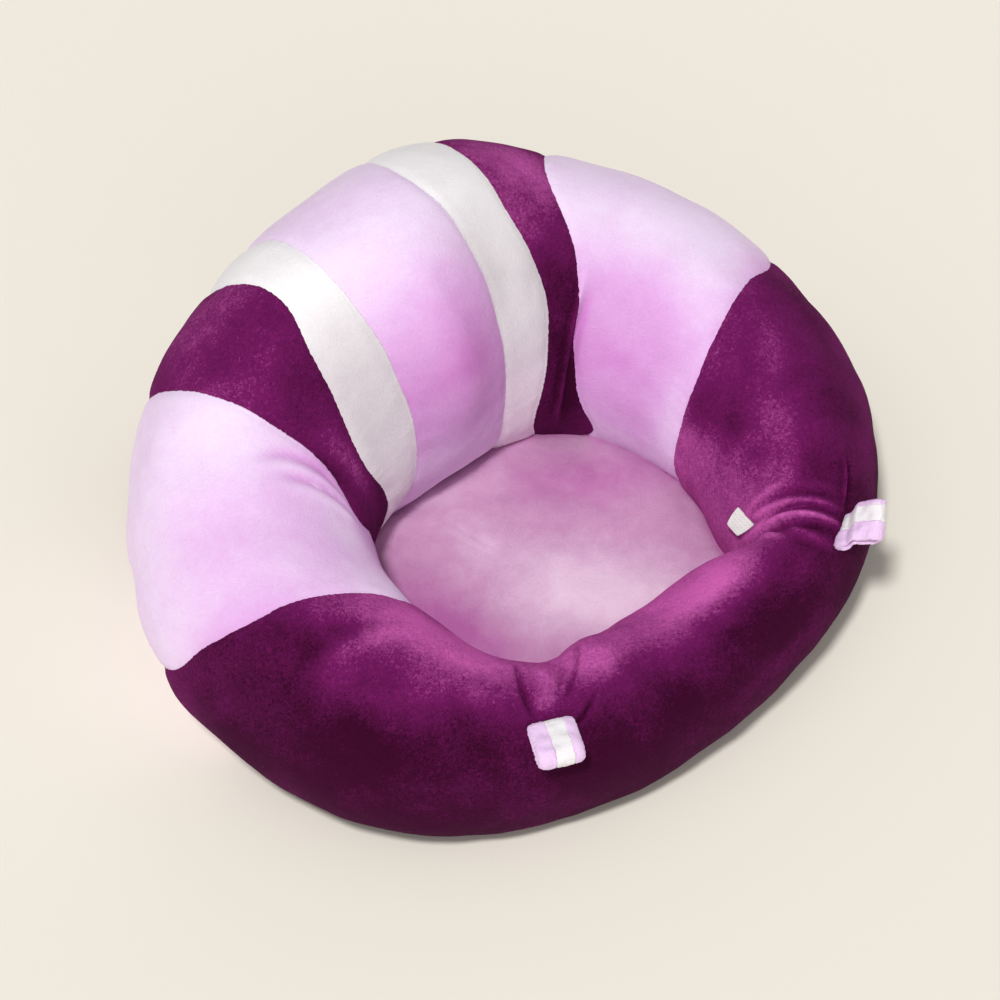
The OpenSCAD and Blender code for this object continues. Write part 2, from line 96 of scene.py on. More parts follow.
@dataclass
class Shape:
    """Points and faces of one closed mesh, with what its finish needs to know at each point.

    The cloth coordinate runs along, across and through the cloth. The nap is the share of the velvet's light
    shade that shows: its brushed pile together with painted light and shade.
    """

    points: np.ndarray
    quads: np.ndarray
    triangles: np.ndarray = field(default_factory=lambda: np.zeros((0, 3), int))
    cloth: np.ndarray | None = None
    nap: np.ndarray | None = None

    def outward(self) -> "Shape":
        """The same shape with its faces pointing out: turned round where its signed volume is negative.

        The volume is the sum over the faces' triangles of a sixth of the corners' triple product.

        Returns:
            The shape.
        """
        threes = np.concatenate([self.quads[:, [0, 1, 2]], self.quads[:, [0, 2, 3]], self.triangles])
        a, b, c = (self.points[threes[:, k]] for k in range(3))
        volume = np.einsum("ij,ij->i", a, np.cross(b, c)).sum() / 6
        if volume < 0:
            self.quads, self.triangles = self.quads[:, ::-1], self.triangles[:, ::-1]
        return self

    def joined(self, other: "Shape") -> "Shape":
        """Both shapes as one mesh.

        Args:
            other: the shape whose points follow this one's.

        Returns:
            The joined shape.
        """
        start = len(self.points)
        return Shape(
            np.concatenate([self.points, other.points]),
            np.concatenate([self.quads, other.quads + start]),
            np.concatenate([self.triangles, other.triangles + start]),
        )


def grid_quads(rows: int, cols: int, wrap_rows: bool, wrap_cols: bool) -> np.ndarray:
    """Quads over a grid of points: each joins (i, j), (i+1, j), (i+1, j+1) and (i, j+1).

    Args:
        rows: number of rows, the slower index.
        cols: number of columns.
        wrap_rows: True joins the last row to the first.
        wrap_cols: True joins the last column to the first.

    Returns:
        An array of four point numbers a face.
    """
    i = np.arange(rows if wrap_rows else rows - 1)[:, None]
    j = np.arange(cols if wrap_cols else cols - 1)[None, :]
    i2, j2 = (i + 1) % rows, (j + 1) % cols
    return np.stack(
        [i * cols + j, i2 * cols + j, i2 * cols + j2, i * cols + j2], axis=-1
    ).reshape(-1, 4)


def ring_grid(points: np.ndarray) -> Shape:
    """A closed shape from a grid of points that is wrapped both ways, as a bent tube is."""
    rows, cols = points.shape[:2]
    return Shape(points.reshape(-1, 3), grid_quads(rows, cols, True, True)).outward()


def capped_tube(points: np.ndarray) -> Shape:
    """A closed shape from rings of points: quads between them and a fan to the middle at both ends.

    Args:
        points: rings by points round by three.

    Returns:
        The shape.
    """
    rows, cols = points.shape[:2]
    body = points.reshape(-1, 3)
    ends = np.stack([points[0].mean(0), points[-1].mean(0)])
    j = np.arange(cols)
    k = (j + 1) % cols
    first = np.stack([np.full(cols, rows * cols), j, k], axis=-1)
    last = (rows - 1) * cols
    final = np.stack([np.full(cols, rows * cols + 1), last + k, last + j], axis=-1)
    return Shape(
        np.concatenate([body, ends]),
        grid_quads(rows, cols, False, True),
        np.concatenate([first, final]),
    ).outward()


def wound_wire(path: np.ndarray, radius: float, sides: int, axis: Point) -> Shape:
    """A round wire along a winding path: each point carries a circle square to the path's direction.

    The circle's axes are the cross product of the path's direction with the winding's axis, and the cross
    product of that with the direction.

    Args:
        path: points by three.
        radius: the wire's radius.
        sides: points round the circle.
        axis: the axis that the wire is wound along, never the path's own direction.

    Returns:
        The capped shape.
    """
    direction = np.gradient(path, axis=0)
    direction /= np.linalg.norm(direction, axis=1, keepdims=True)
    across = np.cross(direction, axis)
    across /= np.linalg.norm(across, axis=1, keepdims=True)
    up = np.cross(across, direction)
    turn = (np.arange(sides) * 2 * math.pi / sides)[None, :, None]
    ring = across[:, None] * np.cos(turn) + up[:, None] * np.sin(turn)
    return capped_tube(path[:, None] + ring * radius)


def smooth_step(value: np.ndarray, low: float, high: float) -> np.ndarray:
    """A smooth rise from 0 at low to 1 at high: three squares of the share less two cubes."""
    share = np.clip((value - low) / (high - low), 0, 1)
    return share * share * (3 - 2 * share)


def wrapped(angle: np.ndarray, low: float = -180.0) -> np.ndarray:
    """An angle brought into the full turn that starts at low."""
    return (angle - low) % 360 + low


def hill(off: np.ndarray, width: float) -> np.ndarray:
    """A bell over a distance: e to minus the square of the distance over the width."""
    return np.exp(-((off / width) ** 2))


def bell(angle: np.ndarray, middle: float, width: float) -> np.ndarray:
    """A bell over how far an angle is turned from a middle one, the short way round."""
    return hill(wrapped(angle - middle), width)


def ragged(draw: np.random.RandomState, count: int) -> np.ndarray:
    """A line of normal draws, each smoothed with its two neighbours by weights of 1, 2 and 1 quarters."""
    return np.convolve(draw.normal(size=count + 2), [0.25, 0.5, 0.25], "valid")


class Lumps:
    """Soft seeded unevenness in space: a sum of sines along directions spread at random."""

    def __init__(self, seed: int, wavelength: float, waves: int = 24) -> None:
        """Draws the waves.

        Args:
            seed: seed of the draw.
            wavelength: the mean distance between crests.
            waves: how many sines are added.
        """
        draw = np.random.RandomState(seed)
        direction = draw.normal(size=(3, waves))
        direction /= np.linalg.norm(direction, axis=0)
        self.wave = direction * 2 * math.pi / (wavelength * draw.uniform(0.7, 1.5, waves))
        self.phase = draw.uniform(0, 2 * math.pi, waves)

    def __call__(self, points: np.ndarray) -> np.ndarray:
        """The unevenness at each point, of about unit size: the sines' sum over its usual size."""
        sines = np.sin(points @ self.wave + self.phase)
        return sines.sum(-1) / math.sqrt(len(self.phase) / 2)


def placed(name: str, data: bpy.types.Mesh | bpy.types.Camera | bpy.types.Light) -> bpy.types.Object:
    """A new object in the scene that shows a mesh, or holds a camera or a light."""
    made = bpy.data.objects.new(name, data)
    bpy.context.scene.collection.objects.link(made)
    return made


# The tube, its seams and its folds


@dataclass(frozen=True)
class Tube:
    """The stuffed tube that is bent into a ring, with its sizes at five stations 45 degrees apart."""

    inner: Stations = (0.058, 0.091, 0.095, 0.097, 0.067)
    outer: Stations = (0.151, 0.176, 0.222, 0.241, 0.236)
    height: Stations = (0.097, 0.107, 0.130, 0.172, 0.223)
    lean: Stations = (0.010, 0.009, 0.002, 0.011, -0.014)
    stand_flat: float = 0.005
    cover: float = 0.002
    middle_y: float = MIDDLE_Y
    pinch_angle: float = 43.0
    pinch_spread: float = 8.0
    pinch_left: float = 0.005
    pinch_right: float = 0.019
    crease_angle: float = 145.0
    crease_spread: float = 58.0
    seam_radius: float = 0.150

    def carried(self, stations: Stations, t: np.ndarray) -> np.ndarray:
        """A size at ring angle t: the even sum of cosines of 0 to 4 times t through the stations."""
        order = np.arange(5)
        ends = np.array([0.5, 1, 1, 1, 0.5])
        cosines = np.cos(np.radians(45.0) * np.multiply.outer(order, order))
        weights = ends * 0.5 * (cosines @ (ends * np.array(stations)))
        return np.cos(np.radians(np.multiply.outer(t, order))) @ weights

    def pinch(self, t: np.ndarray, f: np.ndarray) -> np.ndarray:
        """How deep the tube is drawn in: the side's depth times a bell over t and a bell over f."""
        depth = np.where(t < 0, self.pinch_left, self.pinch_right)
        over_t = hill(np.abs(t) - self.pinch_angle, self.pinch_spread)
        return depth * over_t * hill(f - self.crease_angle, self.crease_spread)

    def polar(self, t: np.ndarray, f: np.ndarray, inset: float = 0.0) -> tuple[np.ndarray, np.ndarray]:
        """Distance from the ring's middle and height of the skin: a leaning ellipse, flat where it stands.

        Args:
            t: ring angles.
            f: section angles.
            inset: depth under the cover's outer face.

        Returns:
            The distances and the heights.
        """
        t, f = np.broadcast_arrays(np.asarray(t, float), np.asarray(f, float))
        turned = wrapped(t)
        inner, outer, height, lean = (
            self.carried(s, turned) for s in (self.inner, self.outer, self.height, self.lean)
        )
        drawn = inset + self.pinch(turned, f)
        rise = (height + self.stand_flat) / 2 - drawn
        z = np.maximum(inset, (height - self.stand_flat) / 2 + rise * np.sin(np.radians(f)))
        reach = ((outer - inner) / 2 - drawn) * np.cos(np.radians(f))
        return (outer + inner) / 2 + reach + lean * (z / height - 0.5), z

    def place(self, r: np.ndarray, t: np.ndarray, z: np.ndarray) -> np.ndarray:
        """Points at distance r and angle t from the ring's middle, at height z."""
        turn = np.radians(t)
        r, turn, z = np.broadcast_arrays(r, turn, z)
        return np.stack([r * np.sin(turn), self.middle_y - r * np.cos(turn), z], axis=-1)

    def skin(self, t: np.ndarray, f: np.ndarray, inset: float = 0.0) -> np.ndarray:
        """Points of the skin at ring angle t and section angle f."""
        r, z = self.polar(t, f, inset)
        return self.place(r, t, z)

    def normal(self, t: np.ndarray, f: np.ndarray) -> np.ndarray:
        """The skin's outward direction: the cross product of its slopes along t and f."""
        along = self.skin(t + 0.5, f) - self.skin(t - 0.5, f)
        round_it = self.skin(t, f + 0.5) - self.skin(t, f - 0.5)
        out = np.cross(along, round_it)
        return out / np.maximum(np.linalg.norm(out, axis=-1, keepdims=True), 1e-12)


@dataclass(frozen=True)
class Seam:
    """A seam across the tube: its angle at the seam radius, and its slant for each 100 mm outwards.

    A bend is a bell over the section angle by which the sewn line strays: its middle, its width and how far
    it turns the line round the ring.
    """

    angle: float
    slant: float = 0.0
    seed: int = 0
    bends: tuple[Point, ...] = ()
    tuft: float = 0.00020
    wander: float = 0.00016

    def ring_angle(self, tube: Tube, f: np.ndarray) -> np.ndarray:
        """The seam's ring angle at each section angle: in line with the distance outwards, plus bends."""
        r, _ = tube.polar(np.full_like(f, self.angle), f)
        straight = self.angle + self.slant * (r - tube.seam_radius) / 0.1
        return straight + sum(turn * bell(f, at, width) for at, width, turn in self.bends)

    def unevenness(self, f: np.ndarray) -> np.ndarray:
        """How far the sewn line strays sideways at each section angle, in metres.

        Slow sines make the line wander by a few tenths of a millimetre, and a smoothed draw makes the
        pile's tufts stand over it by as much again. A gathered pinch has neither.
        """
        if not self.seed:
            return np.zeros_like(f)
        draw = np.random.RandomState(self.seed)
        quick = ragged(draw, len(f))
        turn = np.radians(f)
        slow = sum(np.sin(n * turn + p) for n, p in zip((5, 9, 14), draw.uniform(0, 6, 3)))
        return self.tuft * quick + self.wander * slow


PINCHES = {Side.RIGHT: Seam(43.0), Side.LEFT: Seam(-43.0)}
SIDE_SEAMS = {
    Side.RIGHT: Seam(96.0, 11.0, 11, ((50.0, 25.0, -2.7),)),
    Side.LEFT: Seam(-96.0, -11.0, 61, ((-15.0, 20.0, -7.0), (56.0, 22.0, 1.3), (135.0, 10.0, 1.8))),
}
DARK_SEAMS = {
    Side.RIGHT: Seam(
        132.5, 11.5, 12, ((38.0, 24.0, -3.0), (88.0, 24.0, 2.0), (166.0, 28.0, 3.0), (205.0, 14.0, -3.5)),
    ),
    Side.LEFT: Seam(-132.5, -11.5, 62, ((158.0, 14.0, 5.0), (4.0, 24.0, -4.0), (198.0, 14.0, -3.0))),
}
STRIPE_SEAMS = {
    Side.RIGHT: Seam(149.5, 16.5, 13, ((45.0, 28.0, -2.6), (138.0, 27.0, -3.4), (200.0, 18.0, 3.0))),
    Side.LEFT: Seam(
        -149.5, -16.5, 63, ((38.0, 22.0, 2.2), (88.0, 20.0, -2.0), (152.0, 25.0, 3.3), (194.0, 22.0, -4.5)),
    ),
}
CENTRE_SEAMS = {
    Side.RIGHT: Seam(163.0, 10.5, 14, ((40.0, 20.0, -2.4), (82.0, 36.0, 4.4))),
    Side.LEFT: Seam(-163.0, -10.5, 64, ((38.0, 22.0, 1.6),)),
}


@dataclass(frozen=True)
class Fold:
    """A fold or crease that runs round the tube's section, through given places (t, f).

    Its height is a bell across the line, times a window that opens at the first section angle and closes
    at the last one. A fold along the ring has the two angles the other way about in all of this.
    """

    line: tuple[tuple[float, float], ...]
    height: float
    half_width: float
    opens: float
    closes: float
    soft: float = 7.0
    along_ring: bool = False

    def raised(self, t: np.ndarray, f: np.ndarray) -> np.ndarray:
        """The fold's height at each place: the line is the parabola through its three places.

        Args:
            t: ring angles.
            f: section angles.

        Returns:
            Heights in metres.
        """
        side, run = np.array(self.line).T
        if self.along_ring:
            side, run, t, f = run, side, f, t
        middle = np.polyval(np.polyfit(run, side, 2), f)
        window = np.tanh((f - self.opens) / self.soft) - np.tanh((f - self.closes) / self.soft)
        return self.height * hill(t - middle, self.half_width) * np.clip(window / 2, 0, 1)


RIGHT_PINCH_FOLDS = (
    Fold(((46.0, 140.0), (44.6, 97.0), (43.4, 50.0)), 0.0042, 1.25, 50.0, 158.0),
    Fold(((45.9, 118.0), (46.0, 90.0), (45.2, 58.0)), -0.0020, 0.8, 55.0, 130.0),
    Fold(((48.9, 130.0), (47.7, 92.0), (46.6, 58.0)), 0.0026, 1.0, 58.0, 138.0),
    Fold(((49.8, 128.0), (49.4, 100.0), (48.8, 70.0)), -0.0013, 0.7, 66.0, 136.0),
    Fold(((50.5, 141.0), (51.6, 124.0), (52.2, 100.0)), 0.0016, 1.0, 104.0, 150.0),
    Fold(((51.0, 100.0), (51.0, 80.0), (50.0, 62.0)), 0.0010, 0.9, 64.0, 98.0),
    Fold(((44.0, 148.0), (42.0, 112.0), (41.8, 70.0)), -0.0022, 0.9, 55.0, 150.0),
    Fold(((44.0, 150.0), (40.0, 110.0), (36.8, 88.0)), 0.0022, 1.2, 86.0, 150.0),
    Fold(((42.6, 95.0), (39.6, 74.0), (39.2, 50.0)), 0.0024, 1.1, 48.0, 92.0),
    Fold(((37.4, 96.0), (36.6, 76.0), (37.4, 56.0)), -0.0009, 0.9, 58.0, 98.0),
)
LEFT_PINCH_FOLDS = (
    Fold(((-52.5, 126.0), (-50.0, 104.0), (-47.4, 80.0)), -0.0022, 0.75, 76.0, 122.0),
    Fold(((-49.8, 104.0), (-48.2, 88.0), (-46.8, 76.0)), -0.0014, 0.5, 72.0, 98.0, 4.0),
    Fold(((-45.0, 112.0), (-43.5, 92.0), (-43.5, 74.0)), 0.0020, 3.0, 70.0, 118.0),
    Fold(((-32.5, 134.0), (-36.0, 107.0), (-38.6, 88.0)), -0.0020, 0.85, 84.0, 130.0),
    Fold(((-37.5, 120.0), (-40.0, 104.0), (-40.8, 86.0)), -0.0010, 0.7, 84.0, 112.0),
    Fold(((-32.4, 80.0), (-34.5, 68.5), (-37.0, 60.0)), -0.0026, 0.8, 59.0, 78.0, 3.5),
    Fold(((-31.4, 78.0), (-33.3, 67.0), (-35.4, 60.0)), 0.0010, 0.8, 60.0, 78.0, 3.5),
)
ARM_FOLDS = (
    Fold(((-127.2, 103.0), (-128.2, 115.0), (-126.4, 138.0)), -0.0022, 0.85, 104.0, 140.0, 6.0),
    Fold(((-125.6, 105.0), (-126.0, 118.0), (-125.0, 138.0)), 0.0012, 1.1, 106.0, 140.0, 6.0),
    Fold(((-123.8, 112.0), (-124.0, 125.0), (-122.6, 145.0)), -0.0023, 0.75, 113.0, 150.0, 6.0),
    Fold(((-121.6, 118.0), (-121.4, 130.0), (-120.2, 145.0)), 0.0010, 1.3, 116.0, 148.0, 6.0),
)
BACK_FOLDS = (
    Fold(((130.2, 141.0), (131.8, 160.0), (134.2, 185.0)), 0.0024, 0.8, 132.0, 196.0),
    Fold(((128.6, 146.0), (130.2, 160.0), (132.4, 185.0)), -0.0022, 1.1, 138.0, 196.0),
    Fold(((132.6, 150.0), (134.0, 165.0), (136.0, 185.0)), -0.0008, 0.8, 142.0, 196.0),
)
CORNER_DENTS = (
    Fold(((-88.6, 64.0), (-88.4, 84.0), (-85.4, 103.0)), -0.0020, 2.6, 62.0, 106.0, 9.0),
    Fold(((-84.0, 66.0), (-83.4, 84.0), (-80.4, 103.0)), 0.0012, 3.4, 62.0, 112.0, 9.0),
)
RIGHT_EDGES = (
    Fold(((48.5, 54.0), (53.0, 56.5), (57.5, 60.0)), 0.0020, 1.5, 48.5, 57.0, 1.6, True),
    Fold(((48.5, 50.6), (53.0, 53.1), (57.5, 56.6)), -0.0015, 1.6, 48.5, 57.0, 1.6, True),
)
ALL_FOLDS = RIGHT_PINCH_FOLDS + LEFT_PINCH_FOLDS + ARM_FOLDS + BACK_FOLDS + CORNER_DENTS + RIGHT_EDGES


@dataclass(frozen=True)
class Patch:
    """A soft patch of the ring: a bell over both angles, t wide and f tall, times its amount."""

    t: float
    f: float
    wide: float
    tall: float
    amount: float

    def raised(self, t: np.ndarray, f: np.ndarray) -> np.ndarray:
        """What the patch adds at each place."""
        return self.amount * bell(t, self.t, self.wide) * bell(f, self.f, self.tall)


# Hills and hollows of the stuffed tube, in metres
SWELLS = tuple(Patch(*row) for row in (
    (-43.0, 138.0, 9.0, 34.0, 0.0066), (-30.0, 136.0, 9.0, 34.0, 0.0060),
    (-4.0, 132.0, 15.0, 36.0, -0.0082), (8.0, 138.0, 12.0, 36.0, -0.0050),
    (52.0, 208.0, 8.0, 40.0, -0.0090), (28.0, 8.0, 20.0, 34.0, 0.0042),
    (152.0, 66.0, 15.0, 34.0, 0.0030),
))
# Where the pile is brushed lighter or darker, and where painted light and painted shade lie on lit faces,
# folds and creases, in shares of the light shade
BRUSHED_AND_SHADED = tuple(Patch(*row) for row in (
    (72.0, 132.0, 22.0, 52.0, -0.40), (-112.0, 76.0, 14.0, 44.0, -0.40),
    (-115.0, 142.0, 15.0, 20.0, 0.50), (112.0, 122.0, 15.0, 20.0, -0.22),
    (112.0, 165.0, 15.0, 20.0, 0.16), (141.0, 82.0, 8.0, 18.0, 0.16),
    (89.0, 86.0, 7.0, 9.0, 0.16), (71.0, 96.0, 9.0, 13.0, 0.16),
    (62.0, 110.0, 8.0, 11.0, 0.08), (76.0, 156.0, 9.0, 12.0, 0.06),
    (78.0, 30.0, 26.0, 20.0, 0.34), (148.0, 130.0, 8.0, 40.0, 0.42),
    (75.0, 132.0, 5.0, 9.0, -0.20), (88.0, 68.0, 8.0, 16.0, 0.14),
    (54.0, 84.0, 6.0, 12.0, -0.26), (87.0, 140.0, 5.0, 14.0, -0.18),
    (13.0, 104.0, 15.0, 14.0, 0.34), (-28.0, 104.0, 10.0, 14.0, 0.10),
    (11.0, 66.0, 9.0, 12.0, -0.14), (19.0, 18.0, 9.0, 10.0, 0.14),
    (-9.5, 8.0, 7.0, 9.0, 0.12), (29.0, 60.0, 7.0, 10.0, 0.12),
    (-81.0, 66.0, 10.0, 14.0, 0.18), (-84.0, 101.0, 4.0, 12.0, 0.14),
    (-72.0, 118.0, 14.0, 18.0, 0.26), (-61.0, 112.0, 8.0, 12.0, 0.16),
    (-62.0, 84.0, 12.0, 14.0, 0.16), (-88.0, 14.0, 9.0, 9.0, 0.14),
    (-151.0, 70.0, 7.0, 16.0, 0.06), (-142.0, 112.0, 7.0, 18.0, -0.14),
    (-134.0, 152.0, 5.0, 24.0, 0.46), (148.0, 80.0, 7.0, 16.0, 0.12),
    (138.0, 92.0, 4.0, 14.0, 0.20), (177.0, 150.0, 10.0, 16.0, -0.24),
    (131.0, 168.0, 4.0, 20.0, -0.20),
    (-128.0, 136.0, 3.5, 14.0, -0.30), (112.0, 176.0, 12.0, 22.0, -0.14),
))


class Nap:
    """How light the velvet looks over the ring, from 0 to 1: its brushed pile, with painted light and shade.
    """

    # Painted light: the share rises over the top of the tube in front
    front_top_light: Point = (0.84, 34.0, 128.0)
    # Painted shade: behind, the shares dip on the tube's inner faces
    back_angles: tuple[float, ...] = (60.0, 95.0, 115.0, 132.0, 155.0, 175.0, 195.0, 215.0)
    back_shade_shares: dict[Slot, tuple[float, ...]] = {
        Slot.DARK: (0.46, 0.44, 0.32, 0.18, 0.14, 0.14, 0.20, 0.26),
        Slot.LILAC: (0.98, 0.98, 0.76, 0.48, 0.18, 0.40, 0.80, 0.96),
        Slot.WHITE: (0.96, 0.92, 0.46, 0.22, 0.40, 0.80, 1.00, 1.00),
    }
    region: tuple[float, float] = (92.0, 108.0)
    # Painted highlight on a fold's ridge and painted shade in a crease, per metre of its height
    fold_shade_gain: float = 110.0

    def __call__(self, t: np.ndarray, f: np.ndarray, slot: Slot) -> np.ndarray:
        """The share of the light shade at each place.

        In front the share rises smoothly from the tube's outside over its top, which paints light on the top.
        Behind it follows straight lines between stations, which dip on the tube's inner faces as painted
        shade. Both meet over the side seams. The brushed and shaded patches are added, and painted light lies
        on the ridge of a fold and painted shade in a crease, in line with its height.

        Args:
            t: ring angles.
            f: section angles.
            slot: which velvet it is.

        Returns:
            Shares.
        """
        t, f = wrapped(t), wrapped(f, -90.0)
        rise, start, end = self.front_top_light
        front = rise * smooth_step(f, start, end)
        back = np.interp(f, self.back_angles, self.back_shade_shares[slot])
        behind = smooth_step(np.abs(t), *self.region)
        share = front + (back - front) * behind
        # Patches of brushed pile, some of them painted light and painted shade
        for patch in BRUSHED_AND_SHADED:
            share = share + patch.raised(t, f)
        # Painted highlight on fold ridges and painted shade in creases
        for fold in ALL_FOLDS:
            share = share + self.fold_shade_gain * fold.raised(t, f)
        return np.clip(share, 0, 1)


@dataclass(frozen=True)
class Inflation:
    """A cloth simulation of a sewn cover that is blown up by its stuffing, kept as moves of its points."""

    pressure: float = 4.0
    frames: int = 20
    quality: int = 4
    cap: float = 0.0020
    bending: float = 0.2
    capped_share: float = 0.98
    weight_steps: int = 10

    def sewn(self, piece: bpy.types.Object, hold: np.ndarray) -> None:
        """Holds the points beside the seams: their weights in even steps, from free to held.

        Args:
            piece: the sheet.
            hold: how firmly each point is held, from 0 to 1.
        """
        group = piece.vertex_groups.new(name="sewn")
        most = self.weight_steps
        steps = np.round(hold * most).astype(int)
        for step in range(1, most + 1):
            group.add(np.flatnonzero(steps == step).tolist(), step / most, "REPLACE")

    def moves(self, points: np.ndarray, quads: np.ndarray, hold: np.ndarray) -> np.ndarray:
        """Lets the pressure act on the sheet for some frames, then takes where its points have gone.

        Args:
            points: the sheet's points at rest.
            quads: its faces.
            hold: how firmly each point is held, from 0 to 1.

        Returns:
            The moves, all made smaller by one factor where the longest, but for one in fifty, pass the cap.
        """
        scene = bpy.context.scene
        mesh = bpy.data.meshes.new("inflating")
        mesh.from_pydata(points.tolist(), [], quads.tolist())
        piece = placed("inflating", mesh)
        self.sewn(piece, hold)
        cloth = piece.modifiers.new("cloth", "CLOTH")
        settings = cloth.settings
        settings.quality = self.quality
        settings.use_pressure = True
        settings.uniform_pressure_force = self.pressure
        settings.effector_weights.gravity = 0.0
        settings.vertex_group_mass = "sewn"
        settings.bending_stiffness = self.bending
        cloth.collision_settings.use_collision = False
        cloth.collision_settings.use_self_collision = False
        cloth.point_cache.frame_start, cloth.point_cache.frame_end = 1, self.frames
        for number in range(1, self.frames + 1):
            scene.frame_set(number)
        blown = piece.evaluated_get(bpy.context.evaluated_depsgraph_get())
        after = np.empty(points.size, np.float32)
        blown.data.vertices.foreach_get("co", after)
        bpy.data.objects.remove(piece)
        bpy.data.meshes.remove(mesh)
        scene.frame_set(1)
        moved = after.reshape(-1, 3) - points
        far = float(np.quantile(np.linalg.norm(moved, axis=-1), self.capped_share))
        LOG.info("inflation: %d points, moved up to %.1f mm before the cap", len(points), far * 1000)
        return moved * min(1.0, self.cap / max(far, 1e-9))


COVER_INFLATION = Inflation(pressure=10.0)
PAD_INFLATION = Inflation(cap=0.0012)


@dataclass(frozen=True)
class Field:
    """Values on an even grid over two angles or shares, read smoothly anywhere between."""

    values: np.ndarray
    starts: tuple[float, float]
    steps: tuple[float, float]
    wraps: tuple[bool, bool]

    def weights(self, share: np.ndarray) -> tuple[np.ndarray, ...]:
        """The four weights of a uniform cubic spline at a share of a step."""
        s, r = share, 1 - share
        return r**3 / 6, (3 * s**3 - 6 * s**2 + 4) / 6, (3 * r**3 - 6 * r**2 + 4) / 6, s**3 / 6

    def __call__(self, first: np.ndarray, second: np.ndarray) -> np.ndarray:
        """The field's value: the spline's weights along both axes times the sixteen values around.

        Args:
            first: places along the first axis.
            second: places along the second axis.

        Returns:
            Values.
        """
        places = []
        for axis, place in enumerate((first, second)):
            at = (place - self.starts[axis]) / self.steps[axis]
            low = np.floor(at).astype(int)
            count = self.values.shape[axis]
            around = [low + k for k in range(-1, 3)]
            around = [k % count if self.wraps[axis] else np.clip(k, 0, count - 1) for k in around]
            places.append((around, self.weights(at - low)))
        total = np.zeros(np.broadcast(first, second).shape)
        for i, along in zip(*places[0]):
            for j, beside in zip(*places[1]):
                total += along * beside * self.values[i, j]
        return total


class CoverRelief:
    """Height of the velvet over the tube's plain form: seams, folds, creases and stuffing lumps."""

    seam_depth = 0.0011
    seam_half_width = 0.0028
    seam_valley = 0.0010
    valley_half_width = 0.011
    seam_reach = 0.05
    pucker = 0.00008
    pucker_length = 0.0085
    pucker_fade = 0.006
    pucker_sway = 1.7
    sway_share = 0.31
    flat_in_seam = 0.6
    section_radius = 0.075
    lump_sizes = (0.0011, 0.0004, 0.00009)
    floor_fade = (0.001, 0.022)
    sim_steps = (1.5, 3.0)
    sim_floor = (-0.010, -0.002)
    sim_hold = 0.004

    def __init__(self, tube: Tube) -> None:
        """Keeps the tube, its sewn seams and the draws of unevenness.

        Args:
            tube: the tube whose skin the relief stands on.
        """
        self.tube = tube
        self.seams = [
            pair[side] for pair in (SIDE_SEAMS, DARK_SEAMS, STRIPE_SEAMS, CENTRE_SEAMS) for side in Side
        ]
        self.lumps = (Lumps(3, 0.105), Lumps(4, 0.042), Lumps(5, 0.015))
        self.swelling: Field | None = None

    def inflate(self, inflation: Inflation) -> None:
        """Blows the cover up between its seams, its pinches and the floor, and keeps how far it swells.

        A point is held by a bell over its distance from the nearest seam, and more and more within ten
        millimetres of the floor. The swelling is the move along the skin's outward direction less its mean.

        Args:
            inflation: the simulation.
        """
        t_step, f_step = self.sim_steps
        t, f = np.meshgrid(np.arange(-180, 180, t_step), np.arange(-90, 270, f_step), indexing="ij")
        r, z = self.tube.polar(t, f)
        normal = self.tube.normal(t, f)
        points = self.tube.place(r, t, z) + self(t, f)[..., None] * normal
        hold = smooth_step(-z, *self.sim_floor)
        for seam in (*self.seams, *PINCHES.values()):
            off = wrapped(t - seam.ring_angle(self.tube, f)) * DEGREE * r
            hold = np.maximum(hold, hill(off, self.sim_hold))
        quads = grid_quads(*t.shape, True, True)
        shape = Shape(points.reshape(-1, 3), quads).outward()
        moved = inflation.moves(shape.points, shape.quads, hold.ravel()).reshape(points.shape)
        swell = (moved * normal).sum(-1)
        swell -= swell.mean()
        self.swelling = Field(swell, (-180.0, -90.0), self.sim_steps, (True, True))

    def along_seams(self, t: np.ndarray, f: np.ndarray, r: np.ndarray) -> np.ndarray:
        """The dip at each seam: a narrow bell in a broad one, with ripples that fade beside the seam.

        Args:
            t: ring angles from -180 to 180.
            f: section angles.
            r: the skin's distances from the ring's middle.

        Returns:
            Heights in metres, most of them negative.
        """
        total = np.zeros_like(t)
        for seam in self.seams:
            off = wrapped(t - seam.ring_angle(self.tube, f)) * DEGREE * r
            near = np.abs(off) < self.seam_reach
            d = off[near]
            narrow = hill(d, self.seam_half_width)
            broad = hill(d, self.valley_half_width)
            phase = f[near] * DEGREE * self.section_radius * 2 * math.pi / self.pucker_length
            ripple = np.sin(phase + self.pucker_sway * np.sin(phase * self.sway_share) + seam.angle)
            beside = np.exp(-np.abs(d) / self.pucker_fade) * (1 - self.flat_in_seam * narrow)
            total[near] -= self.seam_depth * narrow + self.seam_valley * broad
            total[near] += self.pucker * ripple * beside
        return total

    def __call__(self, t: np.ndarray, f: np.ndarray) -> np.ndarray:
        """The relief at each place, which fades to nothing where the tube stands on the floor.

        Args:
            t: ring angles.
            f: section angles.

        Returns:
            Heights in metres along the skin's outward direction.
        """
        t, f = wrapped(t), wrapped(f, -90.0)
        r, z = self.tube.polar(t, f)
        points = self.tube.place(r, t, z)
        total = sum(size * lumps(points) for size, lumps in zip(self.lump_sizes, self.lumps))
        total += self.along_seams(t, f, r)
        for form in ALL_FOLDS + SWELLS:
            total += form.raised(t, f)
        if self.swelling is not None:
            total += self.swelling(t, f)
        return total * smooth_step(z, *self.floor_fade)


